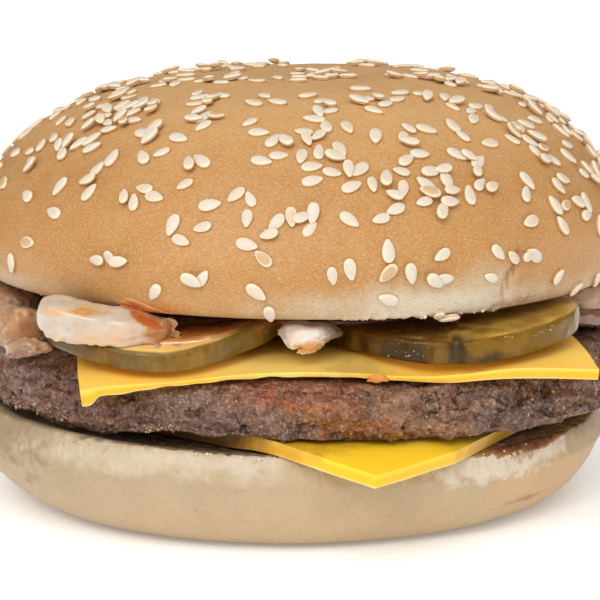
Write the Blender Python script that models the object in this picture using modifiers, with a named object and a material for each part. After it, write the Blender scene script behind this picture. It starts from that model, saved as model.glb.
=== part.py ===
# A cheeseburger: a seeded crown, pickles, onion pieces, two cheese slices, a patty and a heel.
# Lengths are in metres, +Z is up, and the origin is the middle of the heel's flat foot.

import math
import random

import bmesh
import bpy
from mathutils import Matrix, Vector, noise

MM = 0.001
GAP = 0.3 * MM

# Heel, the lower half of a four inch bun
HEEL_RADIUS = 51.2 * MM
HEEL_FOOT_RADIUS = 35.5 * MM
HEEL_FOOT_SHIFT = (1.8 * MM, -2.6 * MM)
HEEL_RIM_RADIUS = 50.0 * MM
HEEL_BELLY_HEIGHT = 11.0 * MM
HEEL_HEIGHT = 14.7 * MM
HEEL_SLOPE = -0.012
HEEL_SINK = 0.75 * MM
HEEL_SINK_START = 6.0 * MM
HEEL_SINK_WIDTH = 40.0 * MM
RIM_LIFT_MEAN = 0.15 * MM
RIM_LIFT_SWING = 1.3 * MM
RIM_LIFT_ANGLE = math.radians(200)
RIM_LIFT_START = 44.0 * MM
RIM_LIFT_WIDTH = 6.0 * MM
HEEL_STEPS = 44

# Cheese, two three inch slices
SLICE_SIDE = 74.5 * MM
SLICE_THICKNESS = 2.15 * MM
SLICE_CELLS = 11
LOWER_SLICE_CENTRE = (5.7 * MM, -5.8 * MM)
LOWER_SLICE_TURN = math.radians(53.0)
LOWER_SLICE_BEND_RADIUS = 46.5 * MM
LOWER_SLICE_DROOP = 2.6 * MM
LOWER_DROOP_POWER = 1.1
LOWER_SLICE_BULGE_LEFT = 1.3 * MM
LOWER_SLICE_BULGE_RIGHT = 2.2 * MM
MELT_RADIUS = 49.0 * MM
MELT_SHARE = 0.7
UPPER_SLICE_CENTRE = (4.5 * MM, -9.7 * MM)
UPPER_SLICE_TURN = math.radians(6.5)
UPPER_SLICE_BEND_RADIUS = 43.0 * MM
UPPER_SLICE_DROOP_LEFT = 2.1 * MM
UPPER_SLICE_DROOP_RIGHT = 0.8 * MM
DROOP_REACH = 13.0 * MM
UPPER_DROOP_POWER = 1.5

# Patty
PATTY_CENTRE_X = 2.6 * MM
PATTY_RADIUS = 51.0 * MM
PATTY_THICKNESS = 8.25 * MM
PATTY_HANG = 0.9
PATTY_SAG = 0.6 * MM
PATTY_SAG_ANGLE = math.radians(222)
PATTY_SAG_WIDTH = math.radians(26)
PATTY_DIP = 1.2 * MM
PATTY_DIP_X = 20.0 * MM
PATTY_DIP_WIDTH = 10.0 * MM
PATTY_WAVE = 1.1 * MM
PATTY_CRAG = 1.1 * MM
PATTY_STEPS = 54

# Pickle slices: centre x, centre y, radius, thickness, lift at left and right, droop at the front
PICKLES = {
    "pickle_left": (-17.4, -32.5, 17.4, 3.2, 0.4, 1.6, 1.7),
    "pickle_right": (24.6, -26.0, 20.0, 3.6, 0.1, 0.9, 1.2),
    "pickle_back": (-7.0, 29.5, 18.2, 3.8, 0.6, 0.8, 0.0),
}
PICKLE_STEPS = 26
PICKLE_TAPER = 0.1
PICKLE_NOTCH_ANGLE = math.radians(-89)
PICKLE_NOTCH_WIDTH = math.radians(4)
PICKLE_NOTCH_DEPTH = 0.9 * MM

# Onion pieces: centre x, y, z, length, depth and height; turn, tilt and roll in degrees; bend
ONIONS = {
    "onion_white": (-25.6, -45.2, 33.75, 19.5, 6.2, 4.5, -4, 8, 12, 0.10),
    "onion_lump": (-38.9, -28.5, 30.1, 8.0, 6.6, 6.6, 35, 8, 0, 0.05),
    "onion_rag": (-37.3, -36.9, 28.1, 7.0, 4.4, 3.4, -42, -10, 0, 0.15),
    "onion_far": (-43.4, -14.5, 32.6, 12.5, 6.2, 4.2, -68, 4, 0, 0.20),
    "onion_under": (-43.0, -12.5, 28.3, 13.5, 6.6, 4.2, -84, 0, 0, 0.12),
    "onion_curl": (4.0, -42.9, 31.5, 9.6, 5.4, 3.6, -2, 3, 0, 0.30),
    "onion_strip": (46.0, -7.6, 31.2, 15.0, 5.6, 4.2, 8, -6, 0, 0.25),
    "onion_side": (-42.0, 8.5, 29.2, 14.5, 6.4, 5.6, 88, -3, 0, 0.18),
    "onion_rear": (-29.3, 37.9, 29.0, 12.0, 6.5, 5.6, 128, 3, 0, 0.22),
    "onion_back": (16.5, 43.0, 29.1, 17.0, 6.0, 5.4, 170, -2, 0, 0.16),
    "onion_end": (37.6, 26.6, 31.5, 15.5, 6.6, 4.8, 130, 3, 0, 0.20),
}
ONION_UNDER = {"onion_white": "pickle_left"}
ONION_CUTS = 2
ONION_ROUGHNESS = 0.55 * MM

# Crown, the upper half of the bun
CROWN_CENTRE_X = 1.6 * MM
CROWN_RADIUS = 51.8 * MM
CROWN_LIP_RADIUS = 48.8 * MM
CROWN_LIP_HEIGHT = 35.2 * MM
CROWN_FACE_HEIGHT = 34.1 * MM
CROWN_BELT_HEIGHT = 43.0 * MM
CROWN_DOME = 23.2 * MM
CROWN_PLAN_POWER = 3.4
CROWN_RISE_POWER = 1.42
CROWN_LEAN = 0.022
CROWN_STEPS = 54
CROWN_DOME_ROWS = 9
CROWN_BELLY_ROWS = 4

# Sesame seeds
SEED_LENGTH = 3.5 * MM
SEED_WIDTH = 2.2 * MM
SEED_THICKNESS = 1.1 * MM
SEED_RISE = 0.2 * MM
SEED_COUNT = 360
SEED_KEPT = 135
SEED_SPACING = 2.7 * MM
SEED_KEPT_SPACING = 4.3 * MM
SEED_CLUSTER_REACH = 7.0 * MM
SEED_RULE = 27


def smooth(value, start, width):
    """A soft step from 0 at start to 1 at start + width."""
    t = min(max((value - start) / width, 0.0), 1.0)
    return t * t * (3.0 - 2.0 * t)


def wave(x, y, z, size, offset):
    """Soft natural unevenness between -1 and 1, for lumps of the given size."""
    return noise.noise(Vector((x / size + offset, y / size - offset, z / size + 2.0 * offset)))


def angle_between(angle, other):
    return abs((angle - other + math.pi) % (2.0 * math.pi) - math.pi)


# Heights of the layers


def rim_curl(x, y):
    """How far the heel's soft rim curls up, most of all at the left."""
    curl = RIM_LIFT_MEAN + RIM_LIFT_SWING * math.cos(math.atan2(y, x) - RIM_LIFT_ANGLE)
    return max(curl, 0.0) * smooth(math.hypot(x, y), RIM_LIFT_START, RIM_LIFT_WIDTH)


def heel_level(x):
    """Cut face of the heel inside the rim: it slopes a little and sinks at the right."""
    return HEEL_HEIGHT + HEEL_SLOPE * x - HEEL_SINK * smooth(x, HEEL_SINK_START, HEEL_SINK_WIDTH)


def heel_top(x, y):
    return heel_level(x) + rim_curl(x, y)


def rim_droop(x, y):
    """How far the lower slice, and the patty on it, hang down past the heel's rim."""
    past = max(math.hypot(x, y) - LOWER_SLICE_BEND_RADIUS, 0.0)
    return LOWER_SLICE_DROOP * (past / DROOP_REACH) ** LOWER_DROOP_POWER


def lower_slice_base(x, y):
    return heel_top(x, y) + 1.5 * GAP - rim_droop(x, y)


def bulged(u, v):
    """The lower slice's soft front corner, at u = v = -1, has spread along both of its edges."""
    half = 0.5 * SLICE_SIDE
    right = math.sin(math.pi * (u + 1.0)) if u < 0.0 else 0.0
    left = math.sin(math.pi * (v + 1.0)) if v < 0.0 else 0.0
    out_u = LOWER_SLICE_BULGE_LEFT / half * left * (0.5 - 0.5 * u) ** 2
    out_v = LOWER_SLICE_BULGE_RIGHT / half * right * (0.5 - 0.5 * v) ** 2
    return u - out_u, v - out_v


def unchanged(x, y):
    return x, y


def melted_back(x, y):
    """The lower slice's right corner has melted back to the rim."""
    radius = math.hypot(x, y)
    side = smooth(math.atan2(y, x), math.radians(-62), math.radians(22))
    past = max(radius - MELT_RADIUS, 0.0) * MELT_SHARE * side
    return x * (1.0 - past / radius), y * (1.0 - past / radius)


def patty_base(x, y):
    """Underside of the patty: it lies on the lower slice and sags where no slice is under it."""
    angle = math.atan2(y, x)
    near = max(0.0, 1.0 - (angle_between(angle, PATTY_SAG_ANGLE) / PATTY_SAG_WIDTH) ** 2)
    sag = PATTY_SAG * near * smooth(math.hypot(x, y), 0.8 * PATTY_RADIUS, 0.15 * PATTY_RADIUS)
    lifted = max(rim_curl(x, y), 0.0) * max(-math.cos(angle), 0.0) ** 4
    return heel_level(x) + lifted + SLICE_THICKNESS + 2.9 * GAP - sag - PATTY_HANG * rim_droop(x, y)


def patty_top(x, y):
    """Upper face of the patty, pressed down a little at the front right."""
    side = math.exp(-(((x - PATTY_DIP_X) / PATTY_DIP_WIDTH) ** 2))
    dip = PATTY_DIP * side * smooth(-y, 0.7 * PATTY_RADIUS, 0.2 * PATTY_RADIUS)
    return HEEL_HEIGHT + SLICE_THICKNESS + 2.9 * GAP + PATTY_THICKNESS - dip


def upper_slice_base(x, y):
    """Underside of the upper slice: it lies on the patty and droops past its shoulder."""
    past = max(math.hypot(x - PATTY_CENTRE_X, y) - UPPER_SLICE_BEND_RADIUS, 0.0)
    right = smooth(x, -0.5 * PATTY_RADIUS, PATTY_RADIUS)
    droop = UPPER_SLICE_DROOP_LEFT + (UPPER_SLICE_DROOP_RIGHT - UPPER_SLICE_DROOP_LEFT) * right
    return patty_top(x, y) + 1.1 * GAP - droop * (past / DROOP_REACH) ** UPPER_DROOP_POWER


# Building blocks


def add_object(name, mesh, material, collection):
    obj = bpy.data.objects.new(name, mesh)
    collection.objects.link(obj)
    mesh.materials.clear()
    mesh.materials.append(material)
    mesh.shade_smooth()
    mesh.set_sharp_from_angle(angle=math.radians(50))
    return obj


def settled_mesh(obj):
    """The object's evaluated mesh, as plain data."""
    bpy.context.view_layer.update()
    graph = bpy.context.evaluated_depsgraph_get()
    return bpy.data.meshes.new_from_object(obj.evaluated_get(graph))


def turned_mesh(name, profile, steps):
    """A turned shape: the profile of (radius, height) pairs, top to bottom, swept round +Z."""
    mesh = bpy.data.meshes.new(name)
    points = [(radius, 0.0, height) for radius, height in profile]
    edges = [(i, i + 1) for i in range(len(points) - 1)]
    mesh.from_pydata(points, edges, [])
    blank = bpy.data.objects.new(name + "_profile", mesh)
    bpy.context.scene.collection.objects.link(blank)
    screw = blank.modifiers.new("Screw", "SCREW")
    screw.axis = "Z"
    screw.angle = 2.0 * math.pi
    screw.steps = steps
    screw.render_steps = steps
    screw.use_merge_vertices = True
    screw.merge_threshold = 0.1 * MM
    turned = settled_mesh(blank)
    bpy.data.objects.remove(blank)
    bpy.data.meshes.remove(mesh)
    return turned


def move_points(mesh, rule):
    for vertex in mesh.vertices:
        vertex.co = rule(*vertex.co)


def food_material(name, colour, roughness):
    material = bpy.data.materials.new(name)
    material.use_nodes = True
    shader = material.node_tree.nodes["Principled BSDF"]
    shader.inputs["Base Color"].default_value = (*colour, 1.0)
    shader.inputs["Roughness"].default_value = roughness
    shader.inputs["Metallic"].default_value = 0.0
    return material


# Heel


def heel_profile():
    """Top face, a small round at the rim, the belly, and the flat foot."""
    points = [(0.0, HEEL_HEIGHT), (0.55 * HEEL_RADIUS, HEEL_HEIGHT), (0.86 * HEEL_RADIUS, HEEL_HEIGHT)]
    points.append((HEEL_RIM_RADIUS - 2.6 * MM, HEEL_HEIGHT))
    points.append((HEEL_RIM_RADIUS - 1.0 * MM, HEEL_HEIGHT - 0.4 * MM))
    points.append((HEEL_RIM_RADIUS, HEEL_HEIGHT - 1.3 * MM))
    points.append((HEEL_RADIUS, HEEL_BELLY_HEIGHT))
    side_rows = 4
    for row in range(1, side_rows + 1):
        swing = 0.5 * math.pi * (1.0 - row / side_rows)
        radius = HEEL_FOOT_RADIUS + (HEEL_RADIUS - HEEL_FOOT_RADIUS) * math.sin(swing) ** 0.8
        points.append((radius, HEEL_BELLY_HEIGHT * (1.0 - math.cos(swing) ** 2)))
    points.append((0.0, 0.0))
    return points


def make_heel(collection):
    mesh = turned_mesh("heel", heel_profile(), HEEL_STEPS)

    def uneven(x, y, z):
        angle = math.atan2(y, x)
        low = 1.0 - min(z / HEEL_BELLY_HEIGHT, 1.0)
        scale = 1.0 + 0.005 * math.sin(2.0 * angle + 0.6) + 0.004 * math.sin(3.0 * angle + 2.1)
        x, y = x * scale + HEEL_FOOT_SHIFT[0] * low, y * scale + HEEL_FOOT_SHIFT[1] * low
        upper = smooth(z, 0.8 * HEEL_BELLY_HEIGHT, HEEL_HEIGHT - HEEL_BELLY_HEIGHT)
        return Vector((x, y, z + (heel_top(x, y) - HEEL_HEIGHT) * upper))

    move_points(mesh, uneven)
    return add_object("heel", mesh, food_material("bun_heel", (0.74, 0.58, 0.38), 0.75), collection)


# Cheese


def make_slice(name, centre, turn, spread, place, height, colour, collection):
    """A square slice draped over what carries it, from a grid that is finer towards its edges."""
    form = bmesh.new()
    bmesh.ops.create_grid(form, x_segments=SLICE_CELLS, y_segments=SLICE_CELLS, size=1.0)
    bmesh.ops.triangulate(form, faces=form.faces)
    cos_turn, sin_turn = math.cos(turn), math.sin(turn)
    half = 0.5 * SLICE_SIDE
    for vertex in form.verts:
        u = math.sin(0.5 * math.pi * vertex.co.x)
        v = math.sin(0.5 * math.pi * vertex.co.y)
        u, v = spread(u, v)
        x = centre[0] + half * (u * cos_turn - v * sin_turn)
        y = centre[1] + half * (u * sin_turn + v * cos_turn)
        x, y = place(x, y)
        vertex.co = (x, y, height(x, y))
    mesh = bpy.data.meshes.new(name)
    form.to_mesh(mesh)
    form.free()
    cheese = add_object(name, mesh, food_material(name, colour, 0.35), collection)
    wall = cheese.modifiers.new("Thickness", "SOLIDIFY")
    wall.thickness = SLICE_THICKNESS
    wall.offset = 1.0
    return cheese


# Patty


def patty_profile():
    """A unit disc with rounded shoulders: radius and height both run from 0 to 1."""
    points = [(0.0, 1.0), (0.45, 1.0), (0.76, 1.0), (0.87, 0.99)]
    for degrees in (62, 38, 14):
        swing = math.radians(degrees)
        points.append((0.9 + 0.1 * math.cos(swing) ** 0.9, 0.5 + 0.5 * math.sin(swing)))
    for degrees in (-10, -34, -60):
        swing = math.radians(degrees)
        points.append((0.93 + 0.07 * math.cos(swing) ** 0.7, 0.5 - 0.5 * abs(math.sin(swing)) ** 0.8))
    points += [(0.93, 0.01), (0.72, 0.0), (0.4, 0.0), (0.0, 0.0)]
    return points


def make_patty(collection):
    mesh = turned_mesh("patty", [(PATTY_RADIUS * r, z * MM) for r, z in patty_profile()], PATTY_STEPS)

    def craggy(x, y, z):
        level = z / MM
        edge = smooth(math.hypot(x, y), 0.86 * PATTY_RADIUS, 0.1 * PATTY_RADIUS)
        angle = math.atan2(y, x)
        swell = PATTY_WAVE * wave(math.cos(angle), math.sin(angle), 0.0, 0.55, 3.0)
        crag = PATTY_CRAG * wave(x, y, 6.0 * z * PATTY_THICKNESS / MM, 7.0 * MM, 8.0)
        scale = 1.0 + edge * (swell + crag) / PATTY_RADIUS
        x, y = x * scale + PATTY_CENTRE_X, y * scale
        base, top = patty_base(x, y), patty_top(x, y)
        return Vector((x, y, base + (top - base) * level))

    move_points(mesh, craggy)
    return add_object("patty", mesh, food_material("patty", (0.15, 0.09, 0.065), 0.6), collection)


# Pickles


def pickle_profile(radius, thickness):
    rim = 0.5 * MM
    return [
        (0.0, thickness),
        (0.5 * radius, thickness),
        (0.82 * radius, thickness),
        (radius - rim, thickness),
        (radius, thickness - rim),
        (radius, rim),
        (radius - rim, 0.0),
        (0.82 * radius, 0.0),
        (0.5 * radius, 0.0),
        (0.0, 0.0),
    ]


def pickle_base(sizes, u, v):
    """Underside of a pickle slice that drapes over the cheese; u and v run from -1 to 1 across it."""
    lift_left, lift_right, droop = (size * MM for size in sizes[4:])
    rest = patty_top(0.0, 0.0) + SLICE_THICKNESS + 2.6 * GAP
    lift = (lift_right if u > 0.0 else lift_left) * u * u
    return rest + lift - droop * (1.0 - u * u) * max(-v, 0.0) ** 3


def pickle_top(sizes, x, y):
    """Upper face of a pickle slice at a place, or a low level where the slice doesn't reach."""
    centre_x, centre_y, radius, thickness = (size * MM for size in sizes[:4])
    u, v = (x - centre_x) / radius, (y - centre_y) / radius
    if math.hypot(u, v) > 1.08:
        return 0.0
    return pickle_base(sizes, u, v) + thickness * (1.0 + PICKLE_TAPER * u)


def make_pickle(name, sizes, material, collection):
    """A round slice, a little oval, with one notch in its skin where it has one."""
    centre_x, centre_y, radius, thickness = (size * MM for size in sizes[:4])
    mesh = turned_mesh(name, pickle_profile(radius, thickness), PICKLE_STEPS)

    def bent(x, y, z):
        angle = math.atan2(y, x)
        share = math.hypot(x, y) / radius
        notch = math.exp(-((angle_between(angle, PICKLE_NOTCH_ANGLE) / PICKLE_NOTCH_WIDTH) ** 2))
        if name != "pickle_right":
            notch = 0.0
        oval = 0.012 * math.sin(2.0 * angle + centre_x / MM)
        scale = 1.0 + share * (oval - notch * PICKLE_NOTCH_DEPTH / radius)
        u, v = x / radius, y / radius
        height = pickle_base(sizes, u, v) + z * (1.0 + PICKLE_TAPER * u)
        return Vector((centre_x + x * scale, centre_y + y * scale, height))

    move_points(mesh, bent)
    return add_object(name, mesh, material, collection)


# Onion


def make_onion(name, sizes, material, collection):
    """A chopped piece of onion layer: a bent, softly rounded slab with ragged ends."""
    x, y, z, length, depth, height = (size * MM for size in sizes[:6])
    turn, tilt, roll = (math.radians(size) for size in sizes[6:9])
    bend = sizes[9]
    form = bmesh.new()
    bmesh.ops.create_cube(form, size=2.0)
    bmesh.ops.subdivide_edges(form, edges=form.edges, cuts=ONION_CUTS, use_grid_fill=True)
    place = Matrix.Translation((x, y, z)) @ Matrix.Rotation(turn, 4, "Z")
    place = place @ Matrix.Rotation(tilt, 4, "Y") @ Matrix.Rotation(roll, 4, "X")
    for vertex in form.verts:
        u, v, w = vertex.co
        around = (abs(u) ** 6 + abs(v) ** 4 + abs(w) ** 4) ** (1.0 / 4.5)
        u, v, w = u / around, v / around, w / around
        taper = 1.0 - 0.16 * u
        point = Vector((0.5 * length * u, 0.5 * depth * v * taper, 0.5 * height * w * taper))
        point.y += bend * length * (u * u - 0.35)
        rough = ONION_ROUGHNESS * wave(point.x + x, point.y + y, point.z + z, 3.5 * MM, 5.0)
        spot = place @ (point + Vector((u, v, w)).normalized() * rough)
        if name in ONION_UNDER:
            under = pickle_top(PICKLES[ONION_UNDER[name]], spot.x, spot.y)
            spot.z = max(spot.z, under + 1.5 * GAP)
        vertex.co = spot
    mesh = bpy.data.meshes.new(name)
    form.to_mesh(mesh)
    form.free()
    return add_object(name, mesh, material, collection)


# Crown


def crown_point(share):
    """Radius and height on the crown's skin: share 0 is the apex, 1 the belt and 2 the lip."""
    if share <= 1.0:
        swing = 0.5 * math.pi * share
        radius = CROWN_RADIUS * math.sin(swing) ** (2.0 / CROWN_PLAN_POWER)
        return radius, CROWN_BELT_HEIGHT + CROWN_DOME * math.cos(swing) ** (2.0 / CROWN_RISE_POWER)
    swing = 0.5 * math.pi * (share - 1.0)
    radius = CROWN_LIP_RADIUS + (CROWN_RADIUS - CROWN_LIP_RADIUS) * math.cos(swing)
    return radius, CROWN_BELT_HEIGHT - (CROWN_BELT_HEIGHT - CROWN_LIP_HEIGHT) * math.sin(swing)


def crown_place(x, y, z):
    """Leans the dome to the left, makes the bun a little uneven, and puts it over the heel."""
    angle = math.atan2(y, x)
    height = smooth(z, CROWN_LIP_HEIGHT, CROWN_BELT_HEIGHT - CROWN_LIP_HEIGHT)
    scale = 1.0 + 0.006 * math.sin(2.0 * angle + 2.4) + 0.004 * math.sin(3.0 * angle + 0.5)
    edge = smooth(math.hypot(x, y), 0.8 * CROWN_LIP_RADIUS, 0.2 * CROWN_LIP_RADIUS)
    lip = (1.0 - height) * edge * (0.35 * MM - 0.65 * MM * math.cos(angle + 0.75))
    return Vector((x * scale + CROWN_CENTRE_X, y * scale, z + CROWN_LEAN * x * height + lip))


def crown_profile():
    dome = [crown_point(row / CROWN_DOME_ROWS) for row in range(CROWN_DOME_ROWS + 1)]
    belly = [crown_point(1.0 + row / CROWN_BELLY_ROWS) for row in range(1, CROWN_BELLY_ROWS + 1)]
    face = [(CROWN_LIP_RADIUS - 0.8 * MM, CROWN_LIP_HEIGHT - 0.3 * MM)]
    face += [(0.9 * CROWN_LIP_RADIUS, CROWN_LIP_HEIGHT - 0.6 * MM)]
    face += [(0.8 * CROWN_LIP_RADIUS, CROWN_FACE_HEIGHT), (0.0, CROWN_FACE_HEIGHT)]
    return dome + belly + face


def skin_spot(share, angle):
    """A spot on the crown's skin with its outward direction and its direction down the dome."""

    def spot(at_share, at_angle):
        radius, height = crown_point(at_share)
        return crown_place(radius * math.cos(at_angle), radius * math.sin(at_angle), height)

    step = 0.01
    here = spot(share, angle)
    down = spot(share + step, angle) - spot(share - step, angle)
    across = spot(share, angle + step) - spot(share, angle - step)
    return here, down.cross(across).normalized(), down.normalized()


def seed_density(share, angle):
    """Seeds lie thick on the dome, thin out towards the belt, and few sit below it."""
    cover = 1.0 - 0.86 * smooth(share, 0.42, 0.75)
    return cover * (0.8 + 0.2 * math.cos(angle - math.radians(20)))


def seed_places():
    """Every seed's spot, outward direction, long direction and length, in clusters of one to five."""
    rng = random.Random(SEED_RULE)
    rows = 200
    shares = [0.05 + 1.6 * row / rows for row in range(rows)]
    weights = []
    for share in shares:
        radius, height = crown_point(share)
        next_radius, next_height = crown_point(share + 1.6 / rows)
        weights.append(radius * math.hypot(next_radius - radius, next_height - height))
    seeds = []
    while len(seeds) < SEED_COUNT:
        share = rng.choices(shares, weights)[0] + rng.uniform(0.0, 1.6 / rows)
        angle = rng.uniform(-math.pi, math.pi)
        if rng.random() > seed_density(share, angle):
            continue
        middle = skin_spot(share, angle)[0]
        for _ in range(rng.choice((1, 2, 3, 3, 4, 5))):
            turn = rng.uniform(-math.pi, math.pi)
            reach = rng.uniform(0.2, 1.0) * SEED_CLUSTER_REACH
            near_angle = angle + reach * math.cos(turn) / CROWN_RADIUS / max(share, 0.15)
            near_share = share + reach * math.sin(turn) / (0.75 * CROWN_RADIUS)
            if not 0.04 < near_share < 1.75:
                continue
            spot, out, down = skin_spot(near_share, near_angle)
            if any((spot - other[0]).length < SEED_SPACING for other in seeds):
                continue
            if (spot - middle).length > 1.5 * SEED_CLUSTER_REACH:
                continue
            along = Matrix.Rotation(rng.uniform(-math.pi, math.pi), 3, out) @ down
            seeds.append((spot, out, along, SEED_LENGTH * rng.uniform(0.9, 1.1)))
    return seeds[:SEED_COUNT]


def largest_seeds(seeds):
    """The largest seeds that lie well apart, so that they cover the dome evenly."""
    kept = []
    for seed in sorted(seeds, key=lambda item: -item[3]):
        if all((seed[0] - other[0]).length > SEED_KEPT_SPACING for other in kept):
            kept.append(seed)
    return kept[:SEED_KEPT]


def make_seed(index, seed, collection):
    """A flat teardrop that lies in the skin, pointed at one end."""
    spot, out, along, length = seed
    form = bmesh.new()
    bmesh.ops.create_uvsphere(form, u_segments=6, v_segments=3, radius=1.0)
    side = out.cross(along)
    axes = Matrix((along, side, out)).transposed()
    for vertex in form.verts:
        u, v, w = vertex.co
        width = SEED_WIDTH * (1.0 - 0.3 * u)
        flat = Vector((0.5 * length * u, 0.5 * width * v, 0.5 * SEED_THICKNESS * w))
        vertex.co = spot + out * SEED_RISE + axes @ flat
    mesh = bpy.data.meshes.new(f"seed_{index}")
    form.to_mesh(mesh)
    form.free()
    seed_object = bpy.data.objects.new(f"seed_{index}", mesh)
    collection.objects.link(seed_object)
    return seed_object


def make_crown(collection):
    """The bun's upper half, with its largest seeds joined on."""
    mesh = turned_mesh("crown", crown_profile(), CROWN_STEPS)
    move_points(mesh, crown_place)
    material = food_material("bun_crown", (0.62, 0.33, 0.13), 0.5)
    crown = add_object("crown", mesh, material, collection)
    loose = bpy.data.collections.new("seeds")
    bpy.context.scene.collection.children.link(loose)
    for index, seed in enumerate(largest_seeds(seed_places())):
        make_seed(index, seed, loose)
    union = crown.modifiers.new("Seeds", "BOOLEAN")
    union.operation = "UNION"
    union.operand_type = "COLLECTION"
    union.collection = loose
    union.solver = "EXACT"
    joined = settled_mesh(crown)
    crown.modifiers.remove(union)
    crown.data = joined
    joined.set_sharp_from_angle(angle=math.radians(25))
    for seed_object in list(loose.objects):
        bpy.data.objects.remove(seed_object)
    bpy.data.collections.remove(loose)
    return crown


def main():
    for obj in list(bpy.data.objects):
        bpy.data.objects.remove(obj)
    burger = bpy.data.collections.new("cheeseburger")
    bpy.context.scene.collection.children.link(burger)

    make_heel(burger)
    make_slice(
        "cheese_lower",
        LOWER_SLICE_CENTRE,
        LOWER_SLICE_TURN,
        bulged,
        melted_back,
        lower_slice_base,
        (1.0, 0.5, 0.02),
        burger,
    )
    make_patty(burger)
    make_slice(
        "cheese_upper",
        UPPER_SLICE_CENTRE,
        UPPER_SLICE_TURN,
        unchanged,
        unchanged,
        upper_slice_base,
        (1.0, 0.62, 0.12),
        burger,
    )
    pickle_skin = food_material("pickle", (0.2, 0.17, 0.035), 0.3)
    for name, sizes in PICKLES.items():
        make_pickle(name, sizes, pickle_skin, burger)
    onion_flesh = food_material("onion", (0.75, 0.6, 0.45), 0.35)
    for name, sizes in ONIONS.items():
        make_onion(name, sizes, onion_flesh, burger)
    make_crown(burger)


main()
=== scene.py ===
# A cheeseburger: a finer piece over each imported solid, each with its own material.
import math
import random

import bmesh
import bpy
from mathutils import Matrix, Vector, noise
from mathutils.bvhtree import BVHTree


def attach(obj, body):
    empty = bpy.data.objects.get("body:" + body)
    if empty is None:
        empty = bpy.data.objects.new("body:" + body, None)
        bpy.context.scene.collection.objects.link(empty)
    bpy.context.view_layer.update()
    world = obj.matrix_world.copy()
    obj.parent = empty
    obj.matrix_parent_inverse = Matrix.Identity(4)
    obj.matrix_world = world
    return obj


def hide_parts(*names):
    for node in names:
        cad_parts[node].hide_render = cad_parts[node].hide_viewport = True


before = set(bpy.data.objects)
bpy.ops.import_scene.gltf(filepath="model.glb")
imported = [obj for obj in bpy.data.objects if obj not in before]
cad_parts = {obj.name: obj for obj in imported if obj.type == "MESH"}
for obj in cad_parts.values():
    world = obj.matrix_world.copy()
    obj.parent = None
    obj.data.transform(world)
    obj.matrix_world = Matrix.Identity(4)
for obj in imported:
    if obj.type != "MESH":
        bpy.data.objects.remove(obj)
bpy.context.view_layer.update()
mm = 0.001
gap = 0.3 * mm
made = {}
print("frame loaded:", len(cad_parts), "solids")


# Helpers for shapes

def smoothStep(value, start, width):
    t = min(max((value - start) / width, 0.0), 1.0)
    return t * t * (3.0 - 2.0 * t)


def bell(value, middle, width):
    return math.exp(-(((value - middle) / width) ** 2))


def wave(x, y, z, size, offset):
    return noise.noise(Vector((x / size + offset, y / size - offset, z / size + 2.0 * offset)))


def angleBetween(angle, other):
    return abs((angle - other + math.pi) % (2.0 * math.pi) - math.pi)


def softLine(points, rounds):
    # Chaikin's corner cutting, both ends stay
    for _ in range(rounds):
        cut = [points[0]]
        for (ax, ay), (bx, by) in zip(points, points[1:]):
            cut.append((0.75 * ax + 0.25 * bx, 0.75 * ay + 0.25 * by))
            cut.append((0.25 * ax + 0.75 * bx, 0.25 * ay + 0.75 * by))
        cut.append(points[-1])
        points = cut
    return points


def evenLine(points, spacing):
    # the same line, with its points about as far apart as spacing(point) says
    line = [points[0]]
    for a, b in zip(points, points[1:]):
        parts = max(1, math.ceil(math.hypot(b[0] - a[0], b[1] - a[1]) / spacing(b)))
        for part in range(1, parts + 1):
            t = part / parts
            line.append((a[0] + (b[0] - a[0]) * t, a[1] + (b[1] - a[1]) * t))
    kept = [line[0]]
    for point in line[1:-1]:
        if math.hypot(point[0] - kept[-1][0], point[1] - kept[-1][1]) > 0.7 * spacing(point):
            kept.append(point)
    return kept + [line[-1]]


def meshFrom(name, form):
    mesh = bpy.data.meshes.new(name)
    form.to_mesh(mesh)
    form.free()
    return mesh


def turnedMesh(name, profile, steps, place, crowding=0.3):
    # the profile runs from the axis at the top, over the side, to the axis at the bottom,
    # and the steps lie closer together in front
    form = bmesh.new()
    top = form.verts.new(place(0.0, 0.0, profile[0][1]))
    bottom = form.verts.new(place(0.0, 0.0, profile[-1][1]))
    turns = []
    for step in range(steps):
        t = 2.0 * math.pi * step / steps
        turns.append(t - crowding * math.sin(t) - 0.5 * math.pi)
    rings = []
    for radius, height in profile[1:-1]:
        spots = [place(radius * math.cos(turn), radius * math.sin(turn), height) for turn in turns]
        rings.append([form.verts.new(spot) for spot in spots])
    for step in range(steps):
        after = (step + 1) % steps
        form.faces.new((top, rings[0][step], rings[0][after]))
        form.faces.new((bottom, rings[-1][after], rings[-1][step]))
        for upper, lower in zip(rings, rings[1:]):
            form.faces.new((upper[step], lower[step], lower[after], upper[after]))
    return meshFrom(name, form)


def addPiece(name, mesh, material):
    piece = bpy.data.objects.new(name, mesh)
    bpy.context.scene.collection.objects.link(piece)
    mesh.materials.clear()
    mesh.materials.append(material)
    mesh.shade_smooth()
    return piece


def settle(piece):
    # live modifiers become plain mesh
    bpy.context.view_layer.update()
    graph = bpy.context.evaluated_depsgraph_get()
    mesh = bpy.data.meshes.new_from_object(piece.evaluated_get(graph))
    piece.modifiers.clear()
    piece.data = mesh
    mesh.shade_smooth()
    return piece


def finishPiece(piece, slot, *nodes):
    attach(piece, "root")
    if nodes:
        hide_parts(*nodes)
    made[piece.name] = piece
    print(f"  {piece.name}: {len(piece.data.polygons)} faces")
    return piece


# Helpers for nodes, in materials and in Geometry Nodes

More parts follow.
